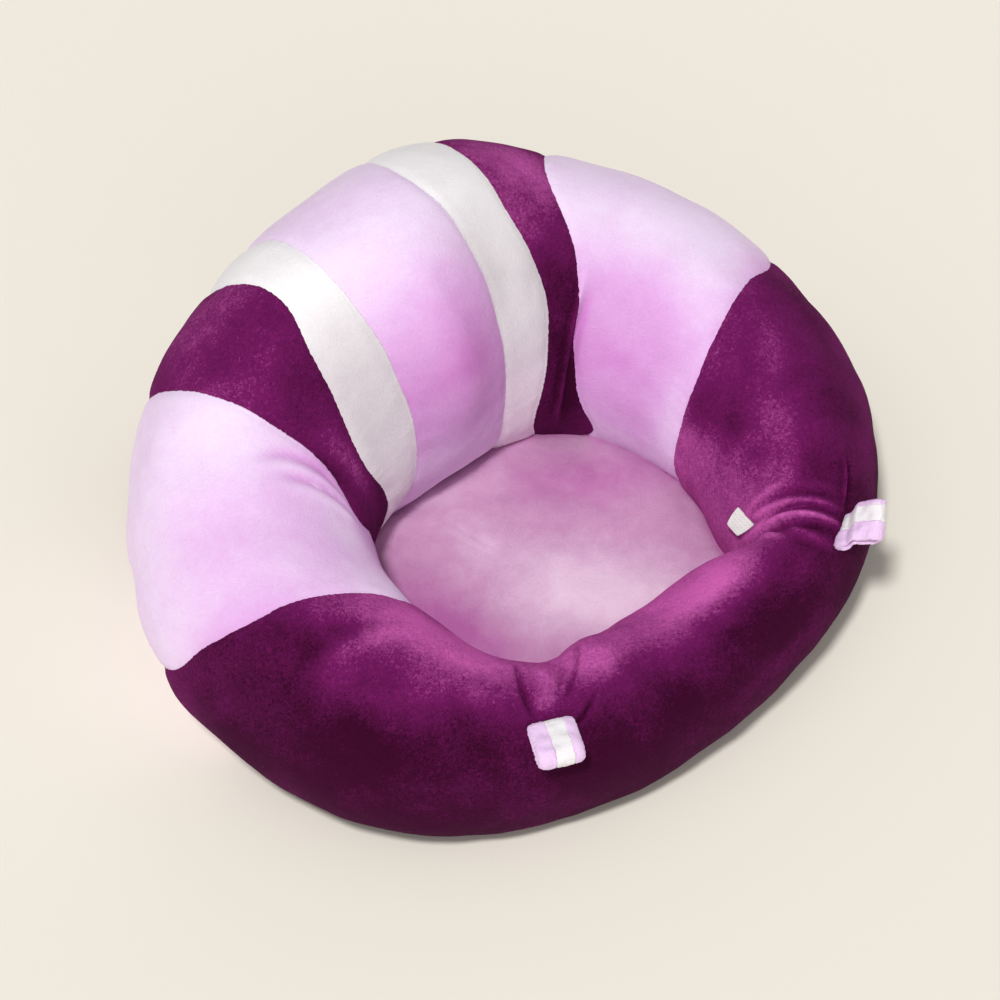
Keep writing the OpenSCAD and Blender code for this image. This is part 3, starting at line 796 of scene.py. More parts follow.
@dataclass(frozen=True)
class Panel:
    """One length of the velvet cover between two seams, as a closed sheet with its ends folded square."""

    name: str
    near: Seam
    far: Seam
    slot: Slot
    near_gathered: bool = False
    far_gathered: bool = False
    end_rows: tuple[float, ...] = (0.0, 0.0005, 0.0011, 0.0019, 0.0030, 0.0045, 0.0064)
    usual_step: float = 0.0024
    gathered_step: float = 0.0013
    gathered_reach: float = 0.034
    inner_every: int = 3
    stray_fade: float = 0.0012
    shown: tuple[float, float, int] = (-26.0, 206.0, 460)
    hidden: tuple[float, float, int] = (206.0, 334.0, 44)

    def section_angles(self) -> np.ndarray:
        """Section angles of the columns: close together where the tube shows, wider under it."""
        return np.concatenate([np.linspace(*part, endpoint=False) for part in (self.shown, self.hidden)])

    def row_shares(self, length: float) -> np.ndarray:
        """Shares of the panel's length at which its rows lie, closer together beside its seams.

        Args:
            length: the panel's mean length along the ring.

        Returns:
            Rising shares from 0 to 1.
        """
        close = np.arange(self.end_rows[-1] + self.gathered_step, self.gathered_reach, self.gathered_step)
        start = [*self.end_rows, *(close if self.near_gathered else ())]
        finish = [length - d for d in (*self.end_rows, *(close if self.far_gathered else ()))]
        low, high = max(start), min(finish)
        steps = max(2, int(round((high - low) / self.usual_step)))
        between = np.linspace(low, high, steps + 1)[1:-1]
        return np.array(sorted(start + list(between) + finish)) / length

    def shape(self, tube: Tube, relief: CoverRelief, nap: Nap) -> Shape:
        """The sheet: outer rows from seam to seam, then fewer inner rows back, wrapped both ways.

        A point is the skin at its inset, moved along the skin's outward direction by the relief. The rows
        beside a seam follow the sewn line's unevenness, which fades within 2 mm.

        Args:
            tube: the tube's form.
            relief: the velvet's relief.
            nap: how its pile is brushed, with painted light and shade.

        Returns:
            The closed shape.
        """
        f = self.section_angles()
        near, far = self.near.ring_angle(tube, f), self.far.ring_angle(tube, f)
        middle = (self.near.angle + self.far.angle) / 2
        mean_r, _ = tube.polar(np.array([middle]), np.array([90.0]))
        length = float(np.radians(abs(self.far.angle - self.near.angle)) * mean_r[0])
        shares = self.row_shares(length)
        u = shares[:, None]
        t = (1 - u) * near + u * far
        r_near, _ = tube.polar(near, f)
        r_far, _ = tube.polar(far, f)
        t += np.exp(-u * length / self.stray_fade) * np.degrees(self.near.unevenness(f) / r_near)
        t += np.exp(-(1 - u) * length / self.stray_fade) * np.degrees(self.far.unevenness(f) / r_far)
        f = np.broadcast_to(f, t.shape)
        lift = relief(t, f)[..., None] * tube.normal(t, f)
        outer = tube.skin(t, f) + lift
        outer[..., 2] = np.maximum(outer[..., 2], 0)
        last = len(t) - 1
        ends = {0, 2, 4, last - 4, last - 2, last}
        fewer = sorted(ends.union(range(0, last, self.inner_every)), reverse=True)
        inner = (tube.skin(t, f, tube.cover) + lift)[fewer]
        inner[..., 2] = np.maximum(inner[..., 2], tube.cover)
        made = ring_grid(np.concatenate([outer, inner]))
        # Share of the light shade: painted light on the tube's top, painted shade on its inner faces and in
        # creases, and the pile's brushing
        brushed_and_shaded = nap(t, f, self.slot)
        made.nap = np.concatenate([brushed_and_shaded, brushed_and_shaded[fewer]]).ravel()
        return made


@dataclass(frozen=True)
class Stuffing:
    """A length of polyester fibre inside the cover, between two pinches."""

    name: str
    start: float
    end: float
    inset: float = 0.0045
    set_back: float = 1.2
    rows: int = 150
    cols: int = 150
    relief_share: float = 0.9
    tuft: float = 0.00035
    off_cover: float = 0.001

    def shape(self, tube: Tube, relief: CoverRelief) -> Shape:
        """Rings of the skin at the fibre's depth, with the cover's relief and small fibre lumps.

        Args:
            tube: the tube's form.
            relief: the velvet's relief.

        Returns:
            The capped shape.
        """
        t = np.linspace(self.start + self.set_back, self.end - self.set_back, self.rows)[:, None]
        f = np.linspace(0, 360, self.cols, endpoint=False)[None, :]
        t, f = np.broadcast_arrays(t, f)
        points = tube.skin(t, f, self.inset)
        uneven = self.tuft * Lumps(21, 0.012)(points)
        points = points + (relief(t, f) * self.relief_share + uneven)[..., None] * tube.normal(t, f)
        points[..., 2] = np.maximum(points[..., 2], tube.cover + self.off_cover)
        return capped_tube(points)


# The seat pad and what lies under it


@dataclass(frozen=True)
class Streak:
    """A long soft patch of the pad: a bell across a bent line, times a wider one along it."""

    x: float
    y: float
    aim: float
    bow: float
    half: float
    reach: float
    amount: float

    def raised(self, x: np.ndarray, y: np.ndarray) -> np.ndarray:
        """What the streak adds at each place.

        Measured from its middle, a place lies x cos a + y sin a less the bow times the square of its place
        along the line across it, where a is the aim.

        Args:
            x: places along X.
            y: places along Y.

        Returns:
            The bells' product times the amount.
        """
        c, s = math.cos(math.radians(self.aim)), math.sin(math.radians(self.aim))
        along = -(x - self.x) * s + (y - self.y) * c
        across = (x - self.x) * c + (y - self.y) * s - self.bow * along * along
        return self.amount * np.exp(-((across / self.half) ** 2) - (along / self.reach) ** 2)


# Swells and wrinkles of the pad's top, in metres
PAD_WRINKLES = tuple(Streak(*row) for row in (
    (-0.002, -0.045, 18.0, 1.2, 0.020, 0.075, 0.0022), (0.044, -0.083, -42.0, -2.0, 0.007, 0.028, -0.0018),
    (0.034, -0.090, -42.0, -2.0, 0.008, 0.030, 0.0014), (-0.017, 0.008, 12.0, 3.0, 0.0022, 0.020, -0.0006),
    (-0.023, 0.006, 14.0, 3.0, 0.0020, 0.016, -0.0005), (0.052, -0.010, 20.0, -4.0, 0.006, 0.030, -0.0009),
    (-0.055, 0.012, -30.0, 5.0, 0.004, 0.024, -0.0007), (0.020, 0.062, 70.0, 4.0, 0.004, 0.026, -0.0007),
))
# Where the pad's pile is brushed lighter or darker, with painted light on its long ridge and painted shade in
# a hollow and towards its sides, in shares of the light shade
PAD_BRUSHED_AND_SHADED = tuple(Streak(*row) for row in (
    (-0.002, -0.045, 18.0, 0.0, 0.030, 0.090, 0.34), (0.020, -0.085, 60.0, 0.0, 0.024, 0.055, 0.36),
    (-0.072, -0.044, 10.0, 0.0, 0.024, 0.056, -0.50), (0.062, -0.006, 60.0, 0.0, 0.024, 0.050, -0.20),
    (0.000, -0.062, 40.0, 0.0, 0.030, 0.040, 0.12), (0.000, 0.040, 80.0, 0.0, 0.016, 0.060, 0.14),
))


@dataclass(frozen=True)
class SeatPad:
    """The stuffed pad inside the ring: its sewn edge, its crown and its hidden underside."""

    seam_z: float = 0.026
    under_z: float = 0.008
    crown: float = 0.010
    dish: float = 0.005
    edge: float = 0.05
    top_edge: float = 0.012
    cover: float = 0.002
    clearance: float = 0.0003
    press: float = 0.0006
    pinch_gap: float = 0.006
    gap_turn: float = 1.5
    gap_width: float = 3.0
    flat_share: float = 0.7
    cols: int = 360
    ring_power: float = 1.25
    lump_sizes: tuple[float, float] = (0.0008, 0.0003)
    gather: float = 0.00045
    gather_near: float = 0.03
    gather_far: float = 0.10
    ground: float = 0.38
    rim_shade: float = 0.7
    rim_width: float = 0.035
    sim_steps: tuple[float, float] = (0.025, 3.0)
    sim_rim: tuple[float, float] = (0.93, 0.99)
    sim_middle: int = 3
    swelling: Field | None = None

    def radius(self, tube: Tube, t: np.ndarray, relief: CoverRelief | None = None) -> np.ndarray:
        """Free radius inside the ring at the height of the pad's top edge, less the clearance.

        Args:
            tube: the ring's form.
            t: ring angles.
            relief: the ring's relief, for a rim that presses against the velvet, or None.

        Returns:
            Distances from the ring's middle: the inner point of the tube's ellipse at that height, less
            what the velvet rises there and a small gap at the right pinch.
        """
        z = self.seam_z + self.cover
        inner, outer, height, lean = (
            tube.carried(s, t) for s in (tube.inner, tube.outer, tube.height, tube.lean)
        )
        level = (z - (height - tube.stand_flat) / 2) / ((height + tube.stand_flat) / 2)
        reach = (outer - inner) / 2 * np.sqrt(1 - level * level)
        free = (outer + inner) / 2 - reach + lean * (z / height - 0.5)
        if relief is None:
            return free - self.clearance
        f = 180 - np.degrees(np.arcsin(level))
        gap = self.pinch_gap * bell(t, tube.pinch_angle + self.gap_turn, self.gap_width)
        return free - relief(t, f) + self.press - gap

    def top(self, u: np.ndarray) -> np.ndarray:
        """Height of the top at a share of the radius: a crown less a dish, both of powers of the share."""
        v = np.minimum(1, u / (1 - self.top_edge))
        return self.seam_z + self.cover + self.crown * (1 - v**4) - self.dish * (1 - v * v) ** 2

    def under(self, u: np.ndarray) -> np.ndarray:
        """Height of the underside: level to the flat share, then a square rise to the seam."""
        v = np.minimum(1, u / (1 - self.edge))
        v = np.maximum(0, v - self.flat_share) / (1 - self.flat_share)
        return self.under_z + (self.seam_z - self.cover - self.under_z) * v * v

    def slack(self, points: np.ndarray, u: np.ndarray) -> np.ndarray:
        """Soft unevenness of the pad's velvet: lumps, long swells, faint wrinkles and gathers at its seam.

        The gathers are two sines round the rim, one of them swayed by a third, and run from near the rim
        to a tenth of the radius inside it. All of it fades to nothing at the rim.

        Args:
            points: places on the pad.
            u: shares of the radius.

        Returns:
            Heights in metres.
        """
        x, y = points[..., 0], points[..., 1]
        broad, small = self.lump_sizes
        total = broad * Lumps(31, 0.085)(points) + small * Lumps(32, 0.030)(points)
        for wrinkle in PAD_WRINKLES:
            total += wrinkle.raised(x, y)
        turn = np.arctan2(x, -(y - MIDDLE_Y))
        gathers = np.sin(turn * 61 + 2.2 * np.sin(turn * 7)) * 0.6 + np.sin(turn * 97 + 1.0) * 0.4
        window = hill(1 - u, self.gather_far) * (1 - hill(1 - u, self.gather_near))
        total += self.gather * gathers * window
        if self.swelling is not None:
            total += self.swelling(u, np.degrees(turn))
        return total * smooth_step(1 - u, 0.0, self.gather_far)

    def inflated(self, tube: Tube, inflation: Inflation) -> "SeatPad":
        """The pad with its top blown up inside its sewn rim, which is held.

        The innermost rings, where the sheet has a small hole, take the mean swell of the first full one.

        Args:
            tube: the ring's form, which gives the rim.
            inflation: the simulation.

        Returns:
            The pad, which keeps how far its top swells upwards, less the mean.
        """
        u_step, t_step = self.sim_steps
        rings, turns = np.arange(u_step, 1 + u_step / 2, u_step), np.arange(-180, 180, t_step)
        u, t = np.meshgrid(rings, turns, indexing="ij")
        points = tube.place(u * self.radius(tube, t), t, self.top(u))
        points[..., 2] += self.slack(points, u)
        rows, cols = u.shape
        quads = grid_quads(rows, cols, False, True)
        moved = inflation.moves(points.reshape(-1, 3), quads, smooth_step(u, *self.sim_rim).ravel())
        swell = moved.reshape(points.shape)[..., 2]
        swell[:self.sim_middle] = swell[self.sim_middle].mean()
        swell -= swell.mean()
        return replace(self, swelling=Field(swell, (u_step, -180.0), self.sim_steps, (False, True)))

    def nap(self, points: np.ndarray, u: np.ndarray) -> np.ndarray:
        """How light the pad's velvet looks: a light band across its middle as painted light on its ridge,
        painted shade towards its sides and along its rim, and brushed pile.

        Args:
            points: places on the pad.
            u: shares of the radius.

        Returns:
            Shares of the light shade.
        """
        x, y = points[..., 0], points[..., 1]
        share = np.full(x.shape, self.ground)
        for streak in PAD_BRUSHED_AND_SHADED:
            share = share + streak.raised(x, y)
        # Painted shade along the rim, where the pad meets the ring
        share = share * (1 - self.rim_shade * hill(1 - u, self.rim_width))
        return np.clip(share, 0, 1)

    def rings(self, count: int) -> np.ndarray:
        """Shares of the radius from near the middle to the rim, closer together at the rim."""
        even = np.linspace(0, 1, count + 1)[1:]
        return 1 - (1 - even) ** self.ring_power

    def shape(
        self,
        tube: Tube,
        upper: Callable[[np.ndarray], np.ndarray],
        lower: Callable[[np.ndarray], np.ndarray],
        reach: float,
        count: int,
        relief: CoverRelief | None = None,
    ) -> Shape:
        """A closed round body from its upper and lower heights at each share of the radius.

        Args:
            tube: the ring's form, which gives the rim.
            upper: heights of the upper side.
            lower: heights of the lower side.
            reach: the rim, as a share of the radius.
            count: rings between the middle and the rim.
            relief: the ring's relief, where the rim presses against it.

        Returns:
            The shape, with both poles closed.
        """
        t = np.linspace(0, 360, self.cols, endpoint=False)[None, :]
        u = self.rings(count)[:, None] * reach
        r = u * self.radius(tube, t, relief)
        flat = tube.place(r, t, np.zeros_like(r))
        shares = np.broadcast_to(u, r.shape)
        slack = self.slack(flat, shares)
        sides = []
        for heights in (upper(shares), lower(shares)):
            points = flat.copy()
            points[..., 2] = heights + slack
            sides.append(points)
        made = capped_tube(np.concatenate([sides[0], sides[1][::-2]]))
        around = np.concatenate([shares, shares[::-2]]).ravel()
        made.nap = self.nap(made.points, np.concatenate([around, [0.0, 0.0]]))
        return made


@dataclass(frozen=True)
class UnderCover:
    """Half of the cloth under the pad, with an open slot over the zip's coils."""

    pad: SeatPad
    front: bool
    slot_half: float = 0.0052
    slot_end: float = ZIP_SLOT_END
    step: float = 1e-5
    joint_gap: float = 0.0001
    wrinkle: float = 0.00018
    wrinkle_reach: float = 0.02
    lump: float = 0.00015
    cols: int = 161
    rows: int = 40

    @property
    def name(self) -> str:
        """The CAD node's name."""
        return f"pad_under_cover_{'front' if self.front else 'rear'}"

    def outline(self, tube: Tube) -> tuple[np.ndarray, np.ndarray]:
        """Places of the cut edge beside the zip and of the rim, both from -X to +X."""
        sign = -1.0 if self.front else 1.0
        turn = np.linspace(-90, 90, self.cols)
        t = turn if self.front else 180 - turn
        rim = tube.place(self.pad.radius(tube, t), t, np.zeros(self.cols))
        wide = abs(rim[0, 0])
        corners = [side * self.slot_end + off for side in (-1, 1) for off in (-self.step, self.step)]
        x = np.sort(np.concatenate([np.linspace(-wide, wide, self.cols - 4), corners]))
        inside = np.abs(x) < self.slot_end
        y = tube.middle_y + sign * np.where(inside, self.slot_half, self.joint_gap)
        return np.stack([x, y, np.zeros_like(x)], axis=-1), rim

    def shape(self, tube: Tube) -> Shape:
        """The half disc: straight lines from the cut edge to the rim, at the underside's height.

        Small wrinkles run out from the zip, and the sheet is two millimetres thick, wrapped both ways.

        Args:
            tube: the ring's form.

        Returns:
            The closed sheet.
        """
        cut, rim = self.outline(tube)
        v = np.linspace(0, 1, self.rows)[:, None, None]
        points = (1 - v) * cut + v * rim
        x, y = points[..., 0], points[..., 1] - tube.middle_y
        t = np.degrees(np.arctan2(x, -y))
        share = np.hypot(x, y) / self.pad.radius(tube, t)
        low = self.pad.under(share)
        fade = np.exp(-np.abs(y) / self.wrinkle_reach)
        ripple = self.wrinkle * np.sin(x * 310 + 1.5 * np.sin(y * 60)) * fade
        ripple += self.lump * Lumps(41, 0.03)(points)
        sheet = []
        for lift in (0.0, self.pad.cover):
            side = points.copy()
            side[..., 2] = low + lift + ripple
            sheet.append(side)
        return self.closed(np.concatenate([sheet[0], sheet[1][::-1]]))

    def closed(self, rows: np.ndarray) -> Shape:
        """Wraps the rows and closes both side edges with quads between the two layers."""
        count, cols = rows.shape[:2]
        body = grid_quads(count, cols, True, False)
        half = count // 2
        i = np.arange(half - 1)
        ends = []
        for j, flip in ((0, False), (cols - 1, True)):
            quad = np.stack([
                i * cols + j, (count - 1 - i) * cols + j,
                (count - 2 - i) * cols + j, (i + 1) * cols + j,
            ], axis=-1)
            ends.append(quad[:, ::-1] if flip else quad)
        cloth = np.stack([rows[..., 0], rows[..., 1], np.zeros(rows.shape[:2])], axis=-1)
        made = Shape(rows.reshape(-1, 3), np.concatenate([body, *ends]), cloth=cloth.reshape(-1, 3))
        return made.outward()

    def flat_size(self, tube: Tube) -> tuple[tuple[float, float], float]:
        """The cut's width and depth, and its flat area: half the sum of squared radii less the slot."""
        _, rim = self.outline(tube)
        sign = -1.0 if self.front else 1.0
        t = np.linspace(-90, 90, 181) if self.front else np.linspace(90, 270, 181)
        r = self.pad.radius(tube, t)
        area = float(0.5 * np.sum((r[1:] ** 2 + r[:-1] ** 2) / 2) * DEGREE)
        area -= 2 * self.slot_end * self.slot_half
        depth = float(np.max(sign * (rim[:, 1] - tube.middle_y)))
        return (float(2 * abs(rim[0, 0])), depth), area


def rounded_profile(half: Sequence[float], corner: float, steps: int) -> np.ndarray:
    """A rounded rectangle as points round it, from its half width and half height.

    Args:
        half: half width and half height.
        corner: the corners' radius.
        steps: points in each corner's quarter circle.

    Returns:
        Points by two, running from the width axis towards the height axis.
    """
    turn = np.linspace(0, math.pi / 2, steps)
    arc = np.stack([np.cos(turn), np.sin(turn)], axis=-1) * corner
    middle = np.array(half) - corner
    parts = []
    for quarter, (sx, sy) in enumerate(((1, 1), (-1, 1), (-1, -1), (1, -1))):
        points = arc if quarter % 2 == 0 else arc[::-1]
        parts.append((points + middle) * (sx, sy))
    return np.concatenate(parts)


@dataclass(frozen=True)
class Tape:
    """A flat woven tape along a straight line, with rounded selvedges and a slight ripple."""

    name: str
    start: Point
    end: Point
    across: Point
    half_width: float
    half_thickness: float
    ripple: float = 0.00006
    ripple_length: float = 0.009
    round_share: float = 0.6
    rows: int = 160

    def shape(self) -> Shape:
        """The tape: a rounded rectangle carried along the line, rippled through its thickness.

        Returns:
            The capped shape, with distance along, across and through it as the cloth coordinate.
        """
        corner = self.half_thickness * self.round_share
        profile = rounded_profile((self.half_width, self.half_thickness), corner, 4)
        a, b, across = (np.array(v) for v in (self.start, self.end, self.across))
        length = float(np.linalg.norm(b - a))
        direction = (b - a) / length
        across = across / np.linalg.norm(across)
        through = np.cross(direction, across)
        s = np.linspace(0, 1, self.rows)[:, None, None]
        wave = self.ripple * np.sin(s * length / self.ripple_length * 2 * math.pi)
        wide, thick = profile[None, :, 0:1], profile[None, :, 1:2] + wave
        points = a + s * (b - a) + wide * across + thick * through
        shape = capped_tube(points)
        wide = np.broadcast_to(wide, points.shape[:2] + (1,))
        cloth = np.concatenate([np.broadcast_to(s * length, wide.shape), wide, 0 * wide], axis=-1)
        ends = np.array([[0.0, 0.0, 0.0], [length, 0.0, 0.0]])
        shape.cloth = np.concatenate([cloth.reshape(-1, 3), ends])
        return shape


@dataclass(frozen=True)
class ZipChain:
    """The closed zip under the pad: two tapes with a nylon coil each, and a stop at both ends."""

    middle_y: float = MIDDLE_Y
    length: float = 0.116
    tape_width: float = 0.013
    tape_thickness: float = 0.0008
    tape_z: float = 0.0072
    coil_width: float = 0.0022
    coil_thickness: float = 0.0015
    coil_gap: float = 0.002
    stop_length: float = 0.003
    slot_end: float = ZIP_SLOT_END
    pitch: float = 0.00145
    wire: float = 0.00033
    turn_points: int = 12
    stop_waist: float = 0.10
    waist_half: float = 0.35
    nose_power: int = 8

    def tape(self, name: str, sign: int) -> Tape:
        """One tape: it reaches outwards from its coil's middle line."""
        inner = self.coil_gap / 2 + self.coil_width / 2
        y = self.middle_y + sign * (inner + self.tape_width / 2)
        z = self.tape_z + self.tape_thickness / 2
        return Tape(
            name, (-self.slot_end, y, z), (self.slot_end, y, z), (0.0, 1.0, 0.0),
            self.tape_width / 2, self.tape_thickness / 2, 0.0,
        )

    def coil(self, sign: int) -> Shape:
        """One coil: a wire wound into a flat helix, its crowns towards the other coil.

        Args:
            sign: -1 for the front coil and 1 for the rear one.

        Returns:
            The helix as a capped tube.
        """
        turns = (self.length - 2 * self.wire) / self.pitch
        turn = np.linspace(0, 2 * math.pi * turns, int(turns * self.turn_points) + 1)
        x = -self.length / 2 + self.wire + turn / (2 * math.pi) * self.pitch
        y = self.middle_y + sign * (self.coil_gap + self.coil_width) / 2
        z = self.tape_z - self.coil_thickness / 2
        flat = (self.coil_width / 2 - self.wire, self.coil_thickness / 2 - self.wire)
        path = np.stack([x, y + sign * flat[0] * np.cos(turn), z + flat[1] * np.sin(turn)], axis=-1)
        return wound_wire(path, self.wire, 6, (1.0, 0.0, 0.0))

    def stops(self) -> Shape:
        """Both end stops: metal clips with rounded edges and a shallow waist where they are crimped."""
        half_w = self.coil_gap / 2 + self.coil_width
        half_t = self.coil_thickness / 2
        profile = rounded_profile((half_w, half_t), half_t * 0.5, 5)
        x = np.linspace(-1, 1, 25)
        waist = 1 - self.stop_waist * hill(x, self.waist_half)
        nose = np.sqrt(np.clip(1 - np.abs(x) ** self.nose_power, 0.02, 1)) ** 0.5
        clips = []
        for sign in (-1, 1):
            points = np.zeros((len(x), len(profile), 3))
            points[..., 0] = (sign * (self.length + self.stop_length) + x[:, None] * self.stop_length) / 2
            points[..., 1] = self.middle_y + profile[None, :, 0] * nose[:, None]
            points[..., 2] = self.tape_z - half_t + profile[None, :, 1] * (waist * nose)[:, None]
            clips.append(capped_tube(points))
        return clips[0].joined(clips[1])


# The toy loops and the care label


def hull_outline(back: float, back_r: float, front: float, front_r: float, count: int) -> np.ndarray:
    """The outline round two circles on one axis: their arcs and the two straight lines that touch both.

    Args:
        back: place of the first circle's middle on the axis.
        back_r: its radius.
        front: place of the second circle's middle.
        front_r: its radius.
        count: points, spaced evenly by length, starting at the outline's front end.

    Returns:
        Points by two, along the axis and square to it.
    """
    touch = math.acos(-(front_r - back_r) / (front - back))
    nose = np.linspace(0, touch, 60)
    tail = np.linspace(touch, 2 * math.pi - touch, 60)
    rest = np.linspace(2 * math.pi - touch, 2 * math.pi, 60)
    parts = [
        np.stack([c + r * np.cos(a), r * np.sin(a)], axis=-1)
        for a, c, r in ((nose, front, front_r), (tail, back, back_r), (rest, front, front_r))
    ]
    line = np.concatenate(parts)
    step = np.concatenate([[0], np.cumsum(np.linalg.norm(np.diff(line, axis=0), axis=1))])
    want = np.linspace(0, step[-1], count, endpoint=False)
    return np.stack([np.interp(want, step, line[:, k]) for k in range(2)], axis=-1)


@dataclass(frozen=True)
class ToyLoop:
    """A padded striped strip, doubled back on itself round a slit and sewn on at a pinch.

    Its place is the section angle of its base. It is turned about the upright and droops from the level.
    The rise lifts all but its base, the curl lifts its fold, and the twist turns the fold about the
    strip's length. The plush stands wider than the cut strip by the spread, and thicker at its fold by the
    plumpness.
    """

    side: Side
    place: float
    turn: float
    droop: float
    curl: float = 0.0
    twist: float = 0.0
    rise: float = 0.0
    plump: float = 1.0
    spread: float = 1.0
    length: float = 0.027
    width: float = 0.024
    white_share: float = 0.4
    white_shift: float = 0.0
    base_thickness: float = 0.007
    fold_thickness: float = 0.013
    slit: float = 0.0024
    slit_start: float = 0.002
    clearance: float = 0.0003
    edge_round: float = 0.0042
    seam_round: float = 0.0008
    count: int = 240
    seed: int = 61
    bite: float = 0.0006
    flare: float = 0.0022
    settled: float = 0.011
    risen: float = 0.3
    edge_thinning: float = 0.10
    seam_stray: float = 0.00022
    stray_reach: float = 0.0012
    lump: float = 0.0003
    lump_length: float = 0.008
    tuft: float = 0.00012
    tuft_length: float = 0.0016

    @property
    def body(self) -> str:
        """The CAD body that the loop rides on."""
        return f"toy_loop_{self.side.word}"

    def beside(self, tube: Tube, across: np.ndarray) -> np.ndarray:
        """Ring angles at places across the strip, from the skin's width for two degrees at its base."""
        t = self.side.value * tube.pinch_angle
        ends = tube.skin(np.array([t + 1.0, t - 1.0]), self.place)
        return t + 2 * across / np.linalg.norm(ends[0] - ends[1])

    def bend(self, tube: Tube) -> tuple[Point, Point]:
        """Where the strip begins to turn away from the cover it is sewn to, and where it has done so."""
        base, axes = self.frame(tube)
        ends = (base - 0.001 * axes[:, 1], base + self.settled * axes[:, 1])
        return tuple(tuple(float(v) for v in end) for end in ends)

    def stand_off(self, tube: Tube, relief: CoverRelief, across: np.ndarray) -> tuple[np.ndarray, np.ndarray]:
        """How far the underside of the sewn base stands off the velvet at places across the strip.

        It is measured along the skin's outward direction, from the skin with its relief, less half the
        base's thickness.

        Args:
            tube: the tube that carries the loop.
            relief: the velvet's relief.
            across: places across the strip.

        Returns:
            The distances, and the outward direction.
        """
        base, axes = self.frame(tube)
        x = np.linspace(-0.6, 0.6, 25) * self.width
        t, f = self.beside(tube, x), np.full_like(x, self.place)
        velvet = tube.skin(t, f) + relief(t, f)[:, None] * tube.normal(t, f)
        out = tube.normal(np.array([self.side.value * tube.pinch_angle]), np.array([self.place]))[0]
        off = (base + x[:, None] * axes[:, 0] - velvet) @ out - self.base_thickness / 2
        return np.interp(across, x, off), out

    def frame(self, tube: Tube) -> tuple[np.ndarray, np.ndarray]:
        """The loop's base and axes, as the CAD has them.

        The base stands off the cover by half the base's thickness, twice the clearance and the most that
        the cover rises over the base line. The columns are across the strip, along it and through it.

        Args:
            tube: the tube that carries the loop.

        Returns:
            The base point, and a matrix whose columns are the axes.
        """
        t, f = self.side.value * tube.pinch_angle, self.place
        heading = math.radians(t - self.side.value * self.turn)
        tilt = math.radians(self.droop)
        across = np.array([math.cos(heading), math.sin(heading), 0.0])
        forward = np.array([math.sin(heading), -math.cos(heading), 0.0])
        along = forward * math.cos(tilt) + np.array([0, 0, -math.sin(tilt)])
        through = np.cross(along, across)
        spots = tube.skin(np.array([t, t + 1.0, t - 1.0, t, t]), f + np.array([0, 0, 0, 2.0, -2.0]))
        spot, slope = spots[0], spots[1] - spots[2]
        out = np.cross(slope, spots[3] - spots[4])
        out /= np.linalg.norm(out)
        x = np.linspace(-0.5, 0.5, 5) * self.width
        rises = (tube.skin(self.beside(tube, x), f) - spot - x[:, None] * across) @ out
        base = spot + (self.base_thickness / 2 + 2 * self.clearance + rises.max()) * out
        return base, np.stack([across, along, through], axis=-1)

    def section(self, edges: tuple[float, float], rounds: tuple[float, float], thick: float) -> np.ndarray:
        """A band's cross section: points by place across the strip and share of its depth.

        Each corner is a quarter of an ellipse, at most half as deep as the strip is thick, and the flat
        parts between the corners are cut into equal steps.

        Args:
            edges: the band's lower and upper edge across the strip.
            rounds: the corner radii there.
            thick: the strip's thickness from its outside to its slit.

        Returns:
            Points by two, round the section.
        """
        turn = np.linspace(0, math.pi / 2, 9)
        corners = []
        for x, sign, radius in ((edges[1], 1, rounds[1]), (edges[0], -1, rounds[0])):
            wide = x - sign * radius * (1 - np.sin(turn))
            deep = min(radius / thick, 0.49) * (1 - np.cos(turn))
            corners += [np.stack([wide, deep], axis=-1), np.stack([wide, 1 - deep], axis=-1)[::-1]]
        top_right, low_right, top_left, low_left = corners
        right = np.concatenate([top_right, low_right])
        left = np.concatenate([low_left[::-1], top_left[::-1]])
        flat_low = np.linspace(right[-1], left[0], 14)[1:-1]
        flat_top = np.linspace(left[-1], right[0], 14)[1:-1]
        return np.concatenate([right, flat_low, left, flat_top])

    def bent(self, local: np.ndarray) -> np.ndarray:
        """The strip raised, curled and twisted, each by more the farther a point is from its sewn base.

        Args:
            local: points across the strip, along it and through it.

        Returns:
            Points in the same axes.
        """
        across, along, through = local[..., 0], local[..., 1], local[..., 2]
        share = np.clip(along / (self.length - self.base_thickness / 2), 0, 1)
        turn = np.radians(self.twist) * share**0.7
        c, s = np.cos(turn), np.sin(turn)
        lift = self.rise * smooth_step(share, 0.0, self.risen) + self.curl * share * share
        return np.stack([across * c + through * s, along, through * c - across * s + lift], axis=-1)

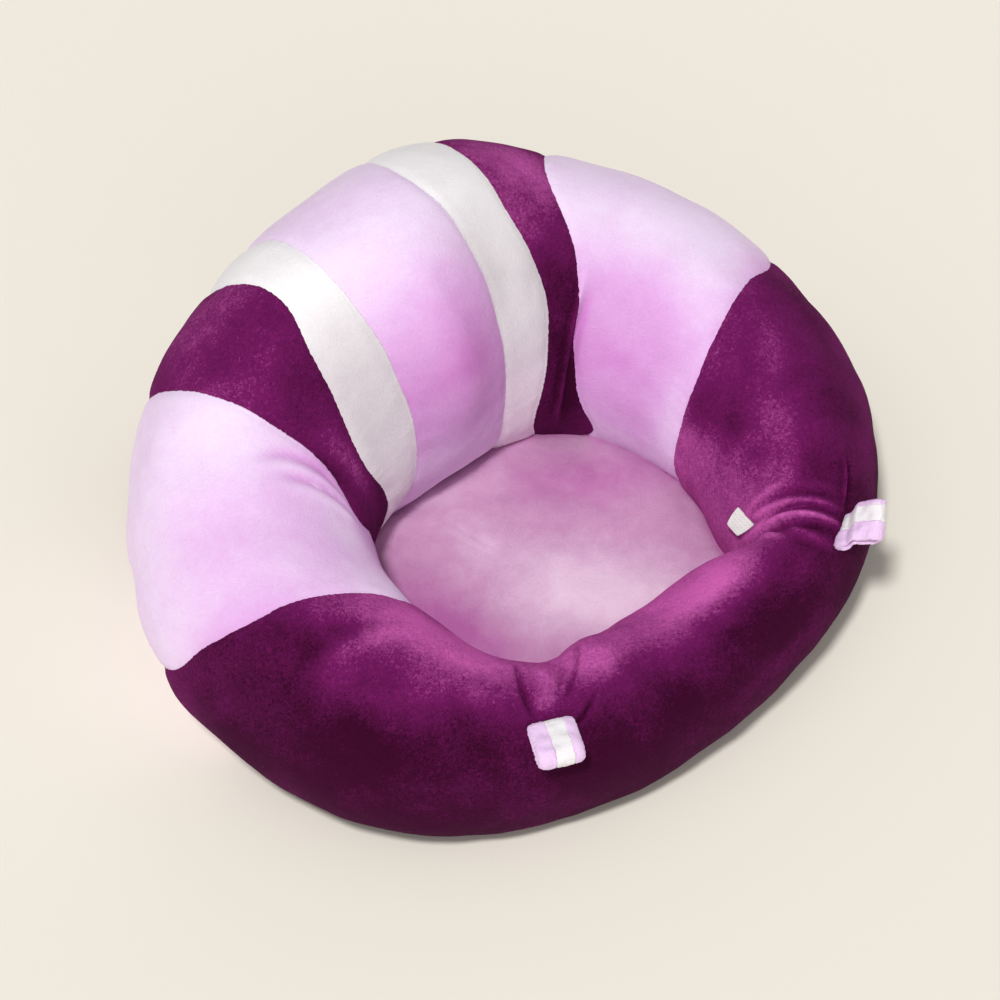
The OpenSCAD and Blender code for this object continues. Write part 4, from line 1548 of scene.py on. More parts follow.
    def band(
        self, tube: Tube, relief: CoverRelief, edges: tuple[float, float], rounds: tuple[float, float],
        seeds: tuple[int, int],
    ) -> Shape:
        """One band: its cross section carried round the folded strip.

        At each place round the strip the section lies between the outer outline and the slit's. The strip
        is thinner towards its edges by a share that grows with the cube of the distance, and its pile
        stands unevenly. The side of its base that faces the cover flares down to the velvet.

        Args:
            tube: the tube that carries the loop.
            relief: the velvet's relief under the sewn base.
            edges: the band's lower and upper edge across the strip.
            rounds: the corner radii there.
            seeds: draws of the unevenness there, shared with the band beside it; 0 gives none.

        Returns:
            The closed band.
        """
        base_x, fold_x = self.base_thickness / 2, self.length - self.fold_thickness / 2
        outer = hull_outline(
            base_x, self.base_thickness / 2, fold_x, self.fold_thickness / 2 * self.plump, self.count
        )
        inner = hull_outline(base_x + self.slit_start, self.slit / 4, fold_x, self.slit / 2, self.count)
        thick = float(np.median(np.linalg.norm(outer - inner, axis=1)))
        wide, deep = self.section(edges, rounds, thick).T
        stray = np.zeros((self.count, len(wide)))
        for seed, x in zip(seeds, edges):
            if seed:
                line = ragged(np.random.RandomState(seed), self.count) * self.seam_stray
                stray += line[:, None] * np.exp(-np.abs(wide - x) / self.stray_reach)
        share = deep[None, :, None]
        side = (1 - share) * outer[:, None, :] + share * inner[:, None, :]
        side[..., 1] *= 1 - self.edge_thinning * (np.abs(wide) / (self.width / 2)) ** 3
        local = np.stack([wide * self.spread + stray, side[..., 0] - base_x, side[..., 1]], axis=-1)
        local[..., 2] += self.lump * Lumps(self.seed, self.lump_length)(local)
        local[..., 0] += self.tuft * Lumps(self.seed + 5, self.tuft_length)(local)
        local[..., 1] += self.tuft * Lumps(self.seed + 6, self.tuft_length)(local)
        base, axes = self.frame(tube)
        off, out = self.stand_off(tube, relief, wide * self.spread)
        height = local[..., 1] * (axes[:, 1] @ out) + local[..., 2] * (axes[:, 2] @ out)
        sewn = 1 - smooth_step(height, -self.base_thickness / 2, self.flare)
        return ring_grid(base + self.bent(local) @ axes.T - ((off + self.bite) * sewn)[..., None] * out)

    def seams(self) -> tuple[float, float]:
        """Places across the strip where the white band meets the lilac ones."""
        half = self.width * self.white_share / 2
        return self.white_shift - half, self.white_shift + half

    def white(self, tube: Tube, relief: CoverRelief) -> Shape:
        """The white band in the middle of the strip."""
        rounds = (self.seam_round, self.seam_round)
        return self.band(tube, relief, self.seams(), rounds, (self.seed + 1, self.seed + 2))

    def lilac(self, tube: Tube, relief: CoverRelief) -> Shape:
        """The two lilac bands beside the white one, as one mesh of two closed shells."""
        edge, (low_seam, high_seam) = self.width / 2, self.seams()
        rounds, seed = (self.edge_round, self.seam_round), self.seed
        low = self.band(tube, relief, (-edge, low_seam), rounds, (0, seed + 1))
        high = self.band(tube, relief, (high_seam, edge), rounds[::-1], (seed + 2, 0))
        return low.joined(high)


@dataclass(frozen=True)
class CareLabel:
    """A blank tape doubled over with its fold at the free end, sewn in at the right pinch."""

    width: float = 0.016
    height: float = 0.012
    layer: float = 0.0007
    gap: float = 0.0006
    lift: float = 25.0
    ring_share: float = 0.9
    face_angle: float = 142.0
    clearance: float = 0.0003
    turn: float = 25.0
    narrow: float = 0.86
    taper: float = 0.34
    bow: float = 0.0009
    corner_drop: float = 0.0026
    corner_place: float = 0.007
    rows: int = 90
    flat_steps: int = 12

    def frame(self, tube: Tube) -> tuple[np.ndarray, np.ndarray]:
        """The label's foot, as the CAD has it, and its axes across it, through it and along it.

        The label is turned a little about the skin's outward direction, as in the photograph.
        """
        t = tube.pinch_angle + self.ring_share * tube.pinch_spread
        step_t, step_f = np.array([0, 2, -2, 1, -1, 0, 0]), np.array([0, 0, 0, 0, 0, 2, -2])
        spots = tube.skin(t + step_t, self.face_angle + step_f)
        across = spots[1] - spots[2]
        across /= np.linalg.norm(across)
        out = np.cross(spots[3] - spots[4], spots[5] - spots[6])
        out /= np.linalg.norm(out)
        turn = math.radians(self.turn)
        across = math.cos(turn) * across + math.sin(turn) * np.cross(out, across)
        lift = math.radians(self.lift)
        along = math.cos(lift) * np.cross(out, across) + math.sin(lift) * out
        foot = spots[0] + ((2 * self.layer + self.gap) / 2 + self.clearance) * out
        return foot, np.stack([across, np.cross(along, across), along], axis=-1)

    def shape(self, tube: Tube) -> Shape:
        """The tape: a rounded section carried up one layer, round the fold and down the other.

        The width shrinks towards the fold with the 2.5th power of the height. The free end's corners are
        lower than its middle by the fourth power of the width, and the tape bows through its thickness by
        the square of the height, most in its middle.

        Args:
            tube: the tube that carries the label.

        Returns:
            The capped tape.
        """
        half_gap = (self.gap + self.layer) / 2
        straight = self.height - half_gap - self.layer / 2
        total = 2 * straight + math.pi * half_gap
        s = np.linspace(0, total, self.rows)
        turn = np.clip((s - straight) / half_gap, 0, math.pi)
        up = np.minimum(s, straight) - np.maximum(s - straight - math.pi * half_gap, 0)
        up = up + half_gap * np.sin(turn)
        through = -half_gap * np.cos(turn)
        out_dir = np.stack([-np.cos(turn), np.sin(turn)], axis=-1)
        profile = rounded_profile((self.width / 2, self.layer / 2), self.layer * 0.3, 4)
        dense = np.concatenate([
            np.linspace(here, there, self.flat_steps if abs(here[0] - there[0]) > self.width / 2 else 1,
                        endpoint=False)
            for here, there in zip(profile, np.roll(profile, -1, axis=0))
        ])
        share = np.clip(up / self.height, 0, 1)
        narrow = self.narrow * (1 - self.taper * share**2.5)
        wide = dense[None, :, 0] * narrow[:, None]
        bow = self.bow * (1 - (dense[None, :, 0] / (self.width / 2)) ** 2) * share[:, None] ** 2
        drop = self.corner_drop * share[:, None] * (wide / self.corner_place) ** 4
        thick = dense[None, :, 1]
        local = np.stack([
            wide,
            through[:, None] + thick * out_dir[:, None, 0] + bow,
            up[:, None] + thick * out_dir[:, None, 1] - drop,
        ], axis=-1)
        foot, axes = self.frame(tube)
        shape = capped_tube(foot + local @ axes.T)
        cloth = np.stack([np.broadcast_to(s[:, None], wide.shape), wide, 0 * wide], axis=-1)
        ends = np.array([[0.0, 0.0, 0.0], [total, 0.0, 0.0]])
        shape.cloth = np.concatenate([cloth.reshape(-1, 3), ends])
        return shape


# Shader maths and node graphs


class Wire:
    """A number in a node graph. Python's operators on it add the Math nodes."""

    def __init__(self, graph: "Graph", socket: bpy.types.NodeSocket) -> None:
        """Keeps the graph that nodes are added to, and the socket that holds the number."""
        self.graph = graph
        self.socket = socket

    def maths(self, operation: str, first: "Wire | float", second: "Wire | float") -> "Wire":
        """A Math node on two values.

        Args:
            operation: the node's operation.
            first: the first value.
            second: the second value.

        Returns:
            The result.
        """
        node = self.graph.node("Math", {"operation": operation}, {0: first, 1: second})
        return Wire(self.graph, node.outputs[0])

    def __add__(self, other: "Wire | float") -> "Wire":
        """Sum."""
        return self.maths("ADD", self, other)

    def __sub__(self, other: "Wire | float") -> "Wire":
        """Difference."""
        return self.maths("SUBTRACT", self, other)

    def __rsub__(self, other: float) -> "Wire":
        """Difference from a number on the left."""
        return self.maths("SUBTRACT", other, self)

    def __mul__(self, other: "Wire | float") -> "Wire":
        """Product."""
        return self.maths("MULTIPLY", self, other)

    def __rmul__(self, other: float) -> "Wire":
        """Product with a number on the left."""
        return self.maths("MULTIPLY", other, self)

    def ramp(self, low: float, high: float) -> "Wire":
        """The number as a smooth share from 0 at low to 1 at high."""
        node = self.graph.node(
            "MapRange", {"interpolation_type": "SMOOTHSTEP"},
            {"Value": self, "From Min": low, "From Max": high},
        )
        return Wire(self.graph, node.outputs[0])


class Graph:
    """The node tree of a material or world, with one method that makes any node."""

    def __init__(self, holder: bpy.types.Material | bpy.types.World, output: str) -> None:
        """Starts an empty tree with its output node.

        Args:
            holder: the material or world.
            output: Material or World, for the output node.
        """
        holder.use_nodes = True
        self.tree = holder.node_tree
        self.tree.nodes.clear()
        self.holder = holder
        self.output = self.tree.nodes.new(f"ShaderNodeOutput{output}")

    @classmethod
    def of_material(cls, name: str) -> "Graph":
        """An empty tree in a new material."""
        return cls(bpy.data.materials.new(name), "Material")

    def end(self, shader: bpy.types.Node) -> None:
        """Links a shader to the output."""
        self.tree.links.new(shader.outputs[0], self.output.inputs[0])

    def node(self, kind: str, settings: dict | None = None, inputs: dict | None = None) -> bpy.types.Node:
        """Makes a node, sets it up and fills its sockets.

        Args:
            kind: the node's type, without the word that all shader nodes' types start with.
            settings: properties to set first.
            inputs: values, sockets or wires by socket name or number.

        Returns:
            The node.
        """
        made = self.tree.nodes.new(f"ShaderNode{kind}")
        for key, value in (settings or {}).items():
            setattr(made, key, value)
        for key, value in (inputs or {}).items():
            socket = made.inputs[key]
            source = value.socket if isinstance(value, Wire) else value
            if isinstance(source, bpy.types.NodeSocket):
                self.tree.links.new(source, socket)
            else:
                socket.default_value = source
        return made

    def place(self) -> bpy.types.NodeSocket:
        """Object coordinates."""
        return self.node("TexCoord").outputs["Object"]

    def cloth_place(self) -> bpy.types.NodeSocket:
        """The piece's own cloth coordinate, in metres along, across and through the cloth."""
        node = self.node("Attribute", {"attribute_name": "cloth"})
        return node.outputs["Vector"]

    def nap(self) -> Wire:
        """How light the piece's velvet looks at each point, from 0 to 1: its brushed pile with painted light
        and shade.
        """
        return Wire(self, self.node("Attribute", {"attribute_name": "nap"}).outputs["Fac"])

    def scaled(self, place: bpy.types.NodeSocket, scale: Point) -> bpy.types.NodeSocket:
        """Coordinates stretched along each axis."""
        return self.node("Mapping", {}, {"Vector": place, "Scale": scale}).outputs[0]

    def noise(
        self, place: bpy.types.NodeSocket, scale: float, detail: float = 2.0, rough: float = 0.5,
        swirl: float = 0.0,
    ) -> Wire:
        """Noise from 0 to 1, mostly between 0.3 and 0.7.

        Args:
            place: coordinates in metres.
            scale: features a metre.
            detail: octaves.
            rough: how strong the finer octaves are.
            swirl: how far the coordinates are bent by another noise.

        Returns:
            The noise.
        """
        node = self.node(
            "TexNoise", {},
            {"Vector": place, "Scale": scale, "Detail": detail, "Roughness": rough, "Distortion": swirl},
        )
        return Wire(self, node.outputs[0])

    def blend(self, share: Wire, low: Sequence[float], high: Sequence[float]) -> bpy.types.NodeSocket:
        """A colour between two colours or sockets, by a share from 0 to 1."""
        inputs = {0: share}
        for key, value in ((6, low), (7, high)):
            inputs[key] = value if isinstance(value, bpy.types.NodeSocket) else (*value, 1.0)
        node = self.node("Mix", {"data_type": "RGBA", "clamp_factor": True}, inputs)
        return node.outputs[2]

    def bump(self, height: Wire, distance: float, strength: float = 1.0) -> bpy.types.NodeSocket:
        """A normal from a height."""
        node = self.node(
            "Bump", {}, {"Height": height, "Distance": distance, "Strength": strength}
        )
        return node.outputs[0]

    def finish(self, inputs: dict) -> bpy.types.Material:
        """Ends the graph in a Principled shader with these sockets, and returns the material."""
        self.end(self.node("BsdfPrincipled", {}, inputs))
        return self.holder


def linear(red: float, green: float, blue: float) -> Point:
    """A display colour from 0 to 255 as linear light: the sRGB curve turned round."""
    def one(value: float) -> float:
        """One channel."""
        v = value / 255
        return v / 12.92 if v <= 0.04045 else ((v + 0.055) / 1.055) ** 2.4
    return (one(red), one(green), one(blue))


# Finishes


@dataclass(frozen=True)
class Velvet:
    """Short-pile plush in three shades, from where the pile leans away and lies in painted shade to where it
    catches painted light.

    The piece's own nap says which shade shows; patch, mottle and fibre are the weights of three noises.
    """

    slot: Slot
    deep: Point
    middle: Point
    light: Point
    patch: float = 0.16
    mottle: float = 0.3
    fibre: float = 0.3
    fibre_scale: float = 620.0
    sheen: float = 0.35
    sheen_tint: Point = (1.0, 1.0, 1.0)
    pile: float = 0.0004

    def material(self) -> bpy.types.Material:
        """Builds the plush.

        The share of the light shade is the nap attribute, with its painted light and shade, plus soft patches
        of about 40 mm, mottling of about 9 mm and fibre tufts, each centred on nothing and weighted. The bump
        raises the tufts and a finer pile.

        Returns:
            The material.
        """
        g = Graph.of_material(self.slot.value)
        place = g.place()
        patches = g.noise(place, 20, 2, 0.5).ramp(0.35, 0.65) - 0.5
        mottle = g.noise(place, 110, 3, 0.6) - 0.5
        tufts = g.noise(place, self.fibre_scale, 3, 0.62, 1.2) - 0.5
        pile = g.noise(place, 1500, 2, 0.6) - 0.5
        # The share starts from the nap attribute, which carries painted light and painted shade
        share = g.nap() + self.patch * patches + self.mottle * mottle + self.fibre * tufts
        low = g.blend(share * 2.0, self.deep, self.middle)
        return g.finish({
            "Base Color": g.blend(share * 2.0 - 1.0, low, self.light),
            "Roughness": 0.92,
            "Specular IOR Level": 0.06,
            "Sheen Weight": self.sheen,
            "Sheen Roughness": 0.42,
            "Sheen Tint": (*self.sheen_tint, 1.0),
            "Normal": g.bump(tufts + pile * 0.5 + mottle * 0.8, self.pile),
        })


@dataclass(frozen=True)
class Weave:
    """A plain woven cloth or tape, with threads crossing at right angles."""

    slot: Slot
    deep: Point
    light: Point
    threads: float
    relief: float
    herringbone: float = 0.0

    def material(self) -> bpy.types.Material:
        """Builds the weave: two sets of waves across each other, with thread and dye unevenness.

        Returns:
            The material.
        """
        g = Graph.of_material(self.slot.value)
        place = g.cloth_place()
        uneven = g.noise(place, 260, 3, 0.6) - 0.5
        waves = []
        for axis in ("X", "Y"):
            node = g.node(
                "TexWave",
                {"wave_type": "BANDS", "bands_direction": axis, "wave_profile": "SIN"},
                {"Vector": place, "Scale": self.threads, "Distortion": 0.6, "Detail": 1.0},
            )
            waves.append(Wire(g, node.outputs["Fac"]))
        warp, weft = waves
        crossing = warp * weft + (1 - warp) * (1 - weft)
        ribs = warp * self.herringbone + crossing * (1 - self.herringbone)
        share = ribs * 0.55 + uneven * 0.9 + 0.2
        return g.finish({
            "Base Color": g.blend(share, self.deep, self.light),
            "Roughness": 0.86,
            "Specular IOR Level": 0.2,
            "Sheen Weight": 0.12,
            "Normal": g.bump(ribs + uneven * 0.6, self.relief),
        })


@dataclass(frozen=True)
class FibreFill:
    """Loose polyester fibre."""

    slot: Slot = Slot.FIBRE
    deep: Point = (0.70, 0.70, 0.68)
    light: Point = (0.90, 0.90, 0.88)

    def material(self) -> bpy.types.Material:
        """Builds the fibre: stretched noise as strands over soft clumps.

        Returns:
            The material.
        """
        g = Graph.of_material(self.slot.value)
        place = g.place()
        strands = g.noise(g.scaled(place, (1.0, 0.3, 1.0)), 700, 4, 0.7)
        clumps = g.noise(place, 80, 3, 0.6)
        share = strands * 0.8 + clumps * 0.6 - 0.2
        return g.finish({
            "Base Color": g.blend(share, self.deep, self.light),
            "Roughness": 0.9,
            "Sheen Weight": 0.2,
            "Normal": g.bump(strands + clumps * 2, 0.0008),
        })


@dataclass(frozen=True)
class CoilNylon:
    """Dyed nylon, slightly glossy, with its dye uneven along the wire."""

    slot: Slot = Slot.NYLON
    deep: Point = (0.10, 0.012, 0.075)
    light: Point = (0.19, 0.03, 0.14)

    def material(self) -> bpy.types.Material:
        """Builds the nylon.

        Returns:
            The material.
        """
        g = Graph.of_material(self.slot.value)
        place = g.place()
        dye = g.noise(place, 140, 3, 0.6)
        scuffs = g.noise(g.scaled(place, (1.0, 4.0, 1.0)), 900, 3, 0.7)
        return g.finish({
            "Base Color": g.blend(dye.ramp(0.3, 0.7), self.deep, self.light),
            "Roughness": scuffs * 0.25 + 0.32,
            "Normal": g.bump(scuffs, 0.00006),
        })


@dataclass(frozen=True)
class CastMetal:
    """Cast zinc with a satin nickel coat: fine brushing, small pits and a tone that varies at random."""

    slot: Slot = Slot.METAL
    deep: Point = (0.36, 0.35, 0.34)
    light: Point = (0.62, 0.61, 0.60)

    def material(self) -> bpy.types.Material:
        """Builds the metal.

        Returns:
            The material.
        """
        g = Graph.of_material(self.slot.value)
        place = g.place()
        brushed_and_shaded = g.noise(g.scaled(place, (0.12, 1.0, 1.0)), 2600, 3, 0.6)
        pits = g.noise(place, 900, 4, 0.7)
        tone = g.noise(place, 180, 2, 0.5)
        return g.finish({
            "Base Color": g.blend(tone.ramp(0.3, 0.7), self.deep, self.light),
            "Metallic": 0.92,
            "Roughness": brushed_and_shaded * 0.2 + tone * 0.15 + 0.22,
            "Normal": g.bump(brushed_and_shaded * 0.5 + pits, 0.00005),
        })


# Each velvet's deep shade stands for its pile in painted shade and its light shade for its pile in painted
# light, as well as its own tone; the nap attribute picks between them
DARK_VELVET = Velvet(
    Slot.DARK, linear(58, 4, 39), linear(120, 27, 98), linear(220, 104, 188),
    patch=0.20, mottle=0.16, fibre=0.75, fibre_scale=560.0,
    sheen=0.11, sheen_tint=linear(230, 84, 196), pile=0.0012,
)
LILAC_VELVET = Velvet(
    Slot.LILAC, linear(208, 130, 202), linear(226, 174, 228), linear(246, 224, 252),
    patch=0.10, mottle=0.20, fibre=0.24, sheen=0.3, sheen_tint=linear(255, 235, 255),
)
WHITE_VELVET = Velvet(
    Slot.WHITE, linear(200, 190, 196), linear(228, 222, 225), linear(252, 248, 250),
    patch=0.10, mottle=0.18, fibre=0.16, sheen=0.3,
)
PAD_VELVET = Velvet(
    Slot.PAD, linear(182, 104, 164), linear(206, 158, 194), linear(236, 206, 228),
    patch=0.16, mottle=0.3, fibre=0.24, sheen=0.3, sheen_tint=linear(250, 220, 244),
)
UNDER_CLOTH = Weave(Slot.UNDER, linear(52, 16, 46), linear(96, 44, 86), 95.0, 0.00025)
WHITE_TAPE = Weave(Slot.TAPE, linear(206, 202, 200), linear(242, 240, 238), 150.0, 0.00015, 0.4)


class Wardrobe:
    """Every finish, built once and handed out by its slot."""

    def __init__(self) -> None:
        """Builds the materials."""
        finishes = (
            DARK_VELVET, LILAC_VELVET, WHITE_VELVET, PAD_VELVET, UNDER_CLOTH, WHITE_TAPE,
            FibreFill(), CoilNylon(), CastMetal(),
        )
        self.materials = {finish.slot: finish.material() for finish in finishes}

    def __getitem__(self, slot: Slot) -> bpy.types.Material:
        """The material of a slot."""
        return self.materials[slot]


class Workshop:
    """Puts finished shapes into the scene: mesh, material, body, slot and the node that they replace."""

    loose_nap = 0.75

    def __init__(self, wardrobe: Wardrobe) -> None:
        """Keeps the finishes."""
        self.wardrobe = wardrobe

    def mesh(self, name: str, shape: Shape) -> bpy.types.Mesh:
        """A smooth-shaded mesh from a shape's arrays.

        Args:
            name: the mesh's name.
            shape: points, faces and cloth coordinates.

        Returns:
            The mesh.
        """
        mesh = bpy.data.meshes.new(name)
        corners = np.concatenate([shape.quads.ravel(), shape.triangles.ravel()]).astype(np.int32)
        fours, threes = len(shape.quads), len(shape.triangles)
        starts = np.concatenate([np.arange(fours) * 4, fours * 4 + np.arange(threes) * 3])
        mesh.vertices.add(len(shape.points))
        mesh.vertices.foreach_set("co", shape.points.astype(np.float32).ravel())
        mesh.loops.add(len(corners))
        mesh.loops.foreach_set("vertex_index", corners)
        mesh.polygons.add(fours + threes)
        mesh.polygons.foreach_set("loop_start", starts.astype(np.int32))
        mesh.polygons.foreach_set("use_smooth", np.ones(fours + threes, bool))
        if shape.cloth is not None:
            cloth = mesh.attributes.new("cloth", "FLOAT_VECTOR", "POINT")
            cloth.data.foreach_set("vector", shape.cloth.astype(np.float32).ravel())
        nap = np.full(len(shape.points), self.loose_nap) if shape.nap is None else shape.nap
        mesh.attributes.new("nap", "FLOAT", "POINT").data.foreach_set("value", nap.astype(np.float32))
        mesh.update(calc_edges=True)
        mesh.validate()
        return mesh

    def put(
        self, node: str, shape: Shape, slot: Slot, body: str,
        bend: tuple[Point, Point] | None = None,
    ) -> bpy.types.Object:
        """Makes a piece and dresses it, and lets it ride on its body unless it has a bend.

        Args:
            node: the CAD node that it stands for.
            shape: its shape.
            slot: its finish.
            body: the CAD body that it rides on.
            bend: where a piece sewn to the seat stops following it and where it wholly follows its body; only
                whether it is given is read, and a piece with one is left in place on no body.

        Returns:
            The piece.
        """
        name = f"dressed_{node}"
        piece = placed(name, self.mesh(name, shape))
        piece.data.materials.append(self.wardrobe[slot])
        if bend is None:
            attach(piece, body)
        else:
            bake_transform(piece)
        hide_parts(node)
        LOG.info("%s: %d faces, on %s", name, len(piece.data.polygons), body)
        return piece

    def dress_node(self, node: str, slot: Slot) -> None:
        """Gives a CAD node that stays the finish of its slot."""
        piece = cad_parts[node]
        piece.data.materials.clear()
        piece.data.materials.append(self.wardrobe[slot])
        LOG.info("%s: kept, with a new finish", node)


# The sub-assemblies


@dataclass
class CoverRing:
    """The ten panels of the velvet cover, the fibre inside them and the tapes that draw it in."""

    tube: Tube
    relief: CoverRelief
    nap: Nap
    body: str = "seat"
    fill: float = 0.85
    tape_thickness: float = 0.0015
    tape_section_step: float = 15.0
    tape_clearance: float = 0.0003
    tape_end_share: float = 0.03

    def panels(self) -> list[Panel]:
        """The panels from the front round both sides to the back."""
        right, left = Side.RIGHT, Side.LEFT
        made = [
            Panel("front_centre_panel", PINCHES[left], PINCHES[right], Slot.DARK, True, True),
            Panel("front_corner_panel_right", PINCHES[right], SIDE_SEAMS[right], Slot.DARK, True, False),
            Panel("front_corner_panel_left", SIDE_SEAMS[left], PINCHES[left], Slot.DARK, False, True),
        ]
        for word, slot, near, far in (
            ("side_panel", Slot.LILAC, SIDE_SEAMS, DARK_SEAMS),
            ("back_dark_panel", Slot.DARK, DARK_SEAMS, STRIPE_SEAMS),
            ("back_stripe", Slot.WHITE, STRIPE_SEAMS, CENTRE_SEAMS),
        ):
            made.append(Panel(f"{word}_right", near[right], far[right], slot))
            made.append(Panel(f"{word}_left", far[left], near[left], slot))
        beyond = replace(CENTRE_SEAMS[left], angle=360 + CENTRE_SEAMS[left].angle)
        made.append(Panel("back_centre_panel", CENTRE_SEAMS[right], beyond, Slot.LILAC))
        return made

    def tape(self, side: Side) -> Tape:
        """The woven tape inside a pinch, from the tube's outer wall to its inner one."""
        t = side.value * self.tube.pinch_angle
        inset = self.tube.cover + self.tape_clearance
        step, short = self.tape_section_step, self.tape_end_share
        low_out, high_out, high_in, low_in = (
            self.tube.skin(np.array(t), np.array(f), inset) for f in (0.0, step, 180 - step, 180.0)
        )
        start, end = (low_out + high_out) / 2, (low_in + high_in) / 2
        start, end = start + (end - start) * short, end + (start - end) * short
        half = min(np.linalg.norm(high_out - low_out), np.linalg.norm(high_in - low_in)) / 2
        return Tape(
            f"pinch_tape_{side.word}", tuple(start), tuple(end), (0.0, 0.0, 1.0),
            float(half), self.tape_thickness / 2,
        )

    def build(self, shop: Workshop) -> None:
        """Puts the ring's pieces into the scene."""
        for panel in self.panels():
            shape = panel.shape(self.tube, self.relief, self.nap)
            shop.put(panel.name, shape, panel.slot, self.body)
        pinch = self.tube.pinch_angle
        for fill in (
            Stuffing("front_stuffing", -pinch, pinch, rows=110),
            Stuffing("ring_stuffing", pinch, 360 - pinch, rows=330),
        ):
            shop.put(fill.name, fill.shape(self.tube, self.relief), Slot.FIBRE, self.body)
        for side in Side:
            tape = self.tape(side)
            shop.put(tape.name, tape.shape(), Slot.TAPE, self.body)


@dataclass
class PadAndZip:
    """The seat pad with its cover, wadding, underside and zip."""

    tube: Tube
    relief: CoverRelief
    pad: SeatPad
    zip: ZipChain
    body: str = "seat"
    fill: float = 0.5
    wadding_gap: float = 0.0012
    wadding_sink: float = 0.0003
    wadding_reach: float = 0.96

    def build(self, shop: Workshop) -> None:
        """Puts the pad's and the zip's pieces into the scene."""
        pad, thick = self.pad, self.pad.cover
        top = pad.shape(self.tube, pad.top, lambda u: pad.top(u) - thick, 1.0, 150, self.relief)
        shop.put("pad_top_cover", top, Slot.PAD, self.body)
        reach = self.wadding_reach * (1 - pad.edge)
        wadding = pad.shape(
            self.tube,
            lambda u: pad.top(u) - thick - self.wadding_gap,
            lambda u: pad.under(u) + thick + self.wadding_gap - self.wadding_sink * u,
            reach, 70,
        )
        shop.put("pad_wadding", wadding, Slot.FIBRE, self.body)
        for front in (True, False):
            cover = UnderCover(pad, front)
            piece = shop.put(cover.name, cover.shape(self.tube), Slot.UNDER, self.body)
            flat, area = cover.flat_size(self.tube)
        for word, sign in (("front", -1), ("rear", 1)):
            tape = self.zip.tape(f"zip_tape_{word}", sign)
            shop.put(tape.name, tape.shape(), Slot.UNDER, self.body)
            shop.put(f"zip_coil_{word}", self.zip.coil(sign), Slot.NYLON, self.body)
        shop.put("zip_end_stops", self.zip.stops(), Slot.METAL, self.body)
        shop.dress_node("zip_slider", Slot.METAL)
        shop.dress_node("zip_pull_tab", Slot.METAL)


@dataclass
class SewnOn:
    """What is sewn on at the pinches: two toy loops and the blank label."""

    tube: Tube
    relief: CoverRelief
    fill: float = 0.7
    loops: tuple[ToyLoop, ...] = (
        ToyLoop(Side.LEFT, 62.0, 17.0, 10.0, plump=1.12, spread=1.1, white_shift=0.0016, seed=61),
        ToyLoop(
            Side.RIGHT, 47.0, 8.0, -15.0, curl=0.004, twist=-28.0, rise=0.0065,
            white_share=0.46, white_shift=0.0042, seed=71,
        ),
    )
    label: CareLabel = CareLabel()

    def build(self, shop: Workshop) -> None:
        """Puts the loops and the label into the scene."""
        for loop in self.loops:
            for word, slot, made in (
                ("white_band", Slot.WHITE, loop.white), ("lilac_bands", Slot.LILAC, loop.lilac),
            ):
                node, shape = f"loop_{word}_{loop.side.word}", made(self.tube, self.relief)
                shop.put(node, shape, slot, loop.body, loop.bend(self.tube))
        label = self.label
        piece = shop.put("care_label", label.shape(self.tube), Slot.TAPE, "care_label")


def direction(azimuth: float, elevation: float) -> Vector:
    """The unit direction at an azimuth from the front, growing towards +X, and an elevation."""
    a, e = math.radians(azimuth), math.radians(elevation)
    return Vector((math.sin(a) * math.cos(e), -math.cos(a) * math.cos(e), math.sin(e)))


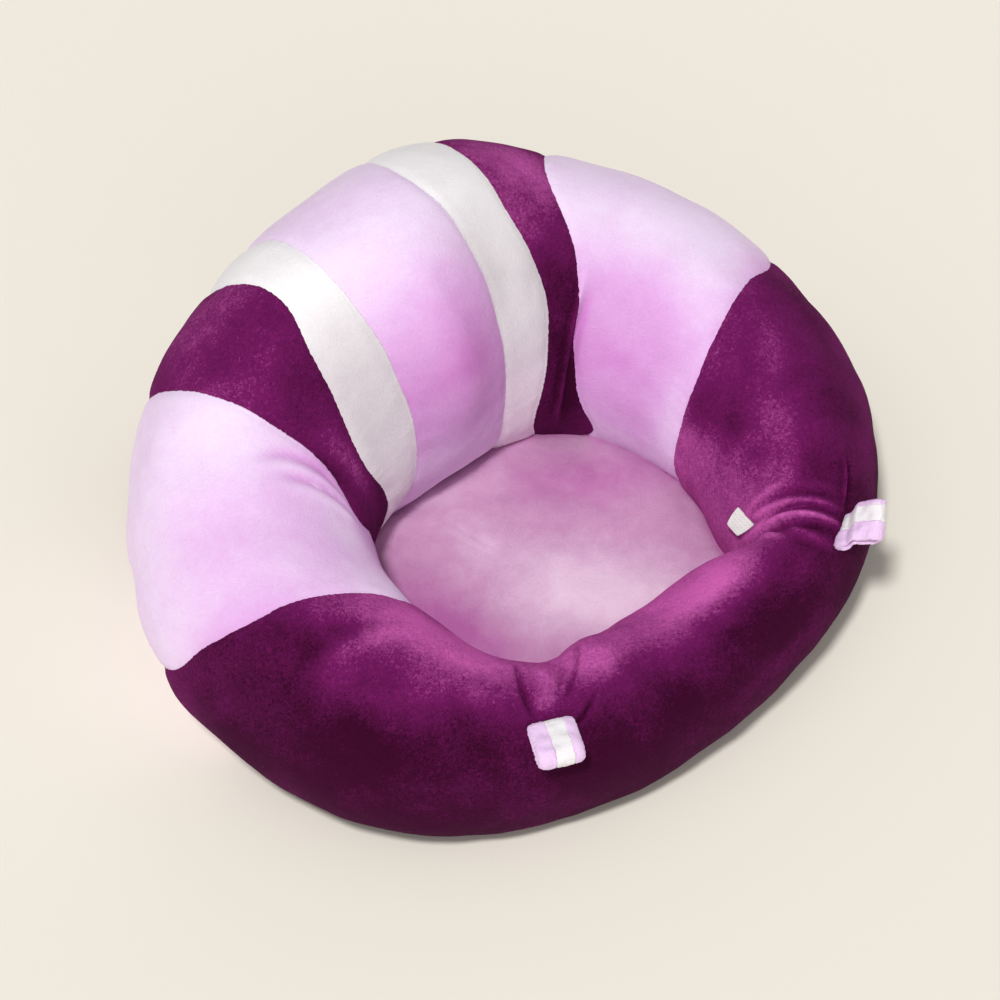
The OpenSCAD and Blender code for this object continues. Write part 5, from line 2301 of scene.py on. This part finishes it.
@dataclass
class Studio:
    """The pale floor, the soft light and the camera at the photograph's angle."""

    tube: Tube
    azimuth: float = -42.04
    elevation: float = 51.44
    distance: float = 2.7713
    lens: float = 175.74
    aim_height: float = 0.080
    aim_left: float = 0.0291
    aim_up: float = 0.0136
    floor_colour: Point = linear(239, 233, 221)
    floor_size: float = 6.0
    floor_gap: float = 0.0002
    world_level: float = 0.28
    front_level: float = 0.56
    front_height: float = 30.0
    front_reach: float = 0.4
    sun_level: float = 2.08
    sun_spread: float = 7.0
    sun_azimuth: float = -57.0
    sun_height: float = 63.0

    def camera(self) -> None:
        """A camera on the line from the ring's middle at the photograph's azimuth and elevation.

        It stands, with its aim, a little to the left and above, so that the seat lies where the
        photograph has it without a lens shift.
        """
        turn = math.radians(self.azimuth)
        back = direction(self.azimuth, self.elevation)
        right = Vector((math.cos(turn), math.sin(turn), 0.0))
        up = back.cross(right)
        aim = Vector((0, self.tube.middle_y, self.aim_height)) - right * self.aim_left + up * self.aim_up
        data = bpy.data.cameras.new("camera")
        data.sensor_width = 36.0
        data.lens = self.lens
        data.clip_start, data.clip_end = 0.05, 50.0
        camera = placed("camera", data)
        camera.rotation_mode = "QUATERNION"
        camera.location = aim + back * self.distance
        camera.rotation_quaternion = Matrix((right, up, back)).transposed().to_quaternion()
        bpy.context.scene.camera = camera

    def light(self) -> None:
        """A world that is brighter in front, and one soft sun, high on the camera's left.

        The world's strength is its even level plus a broad smooth bell round one direction, low on the
        camera's side, which fills the well. The camera itself sees the floor's colour beyond the floor.
        """
        g = Graph(bpy.data.worlds.new("studio"), "World")
        front = tuple(direction(self.azimuth, self.front_height))
        way = g.node("TexCoord").outputs["Generated"]
        facing = g.node("VectorMath", {"operation": "DOT_PRODUCT"}, {0: way, 1: front})
        bright = Wire(g, facing.outputs["Value"]).ramp(self.front_reach, 1.0)
        even = g.node(
            "Background", {},
            {"Color": (1.0, 1.0, 1.0, 1.0), "Strength": self.front_level * bright + self.world_level},
        )
        seen = g.node("Background", {}, {"Color": (*self.floor_colour, 1.0)})
        path = g.node("LightPath")
        g.end(g.node(
            "MixShader", {},
            {0: path.outputs["Is Camera Ray"], 1: even.outputs[0], 2: seen.outputs[0]},
        ))
        bpy.context.scene.world = g.holder
        data = bpy.data.lights.new("sun", "SUN")
        data.energy = self.sun_level
        data.angle = math.radians(self.sun_spread)
        sun = placed("sun", data)
        sun.rotation_mode = "QUATERNION"
        sun.rotation_quaternion = direction(self.sun_azimuth, self.sun_height).to_track_quat("Z", "Y")

    def floor(self) -> None:
        """A plain matt floor, a hair under the seat."""
        size = self.floor_size
        points = [(x * size, y * size, -self.floor_gap) for x, y in ((-1, -1), (1, -1), (1, 1), (-1, 1))]
        mesh = bpy.data.meshes.new("floor")
        mesh.from_pydata(points, [], [(0, 1, 2, 3)])
        floor = placed("floor", mesh)
        g = Graph.of_material("floor")
        g.end(g.node("BsdfDiffuse", {}, {"Color": (*self.floor_colour, 1.0)}))
        mesh.materials.append(g.holder)

    def build(self) -> None:
        """Sets the camera, the light, the floor and the plain view."""
        self.camera()
        self.light()
        self.floor()
        bpy.context.scene.view_settings.view_transform = "Standard"


def main() -> None:
    """Builds the studio and every sub-assembly in order."""
    logging.basicConfig(level=logging.INFO, format="%(name)s: %(message)s")
    tube = Tube()
    Studio(tube).build()
    shop = Workshop(Wardrobe())
    relief = CoverRelief(tube)
    pad = SeatPad()
    relief.inflate(COVER_INFLATION)
    pad = pad.inflated(tube, PAD_INFLATION)
    CoverRing(tube, relief, Nap()).build(shop)
    PadAndZip(tube, relief, pad, ZipChain()).build(shop)
    SewnOn(tube, relief).build(shop)


if __name__ == "__main__":
    main()
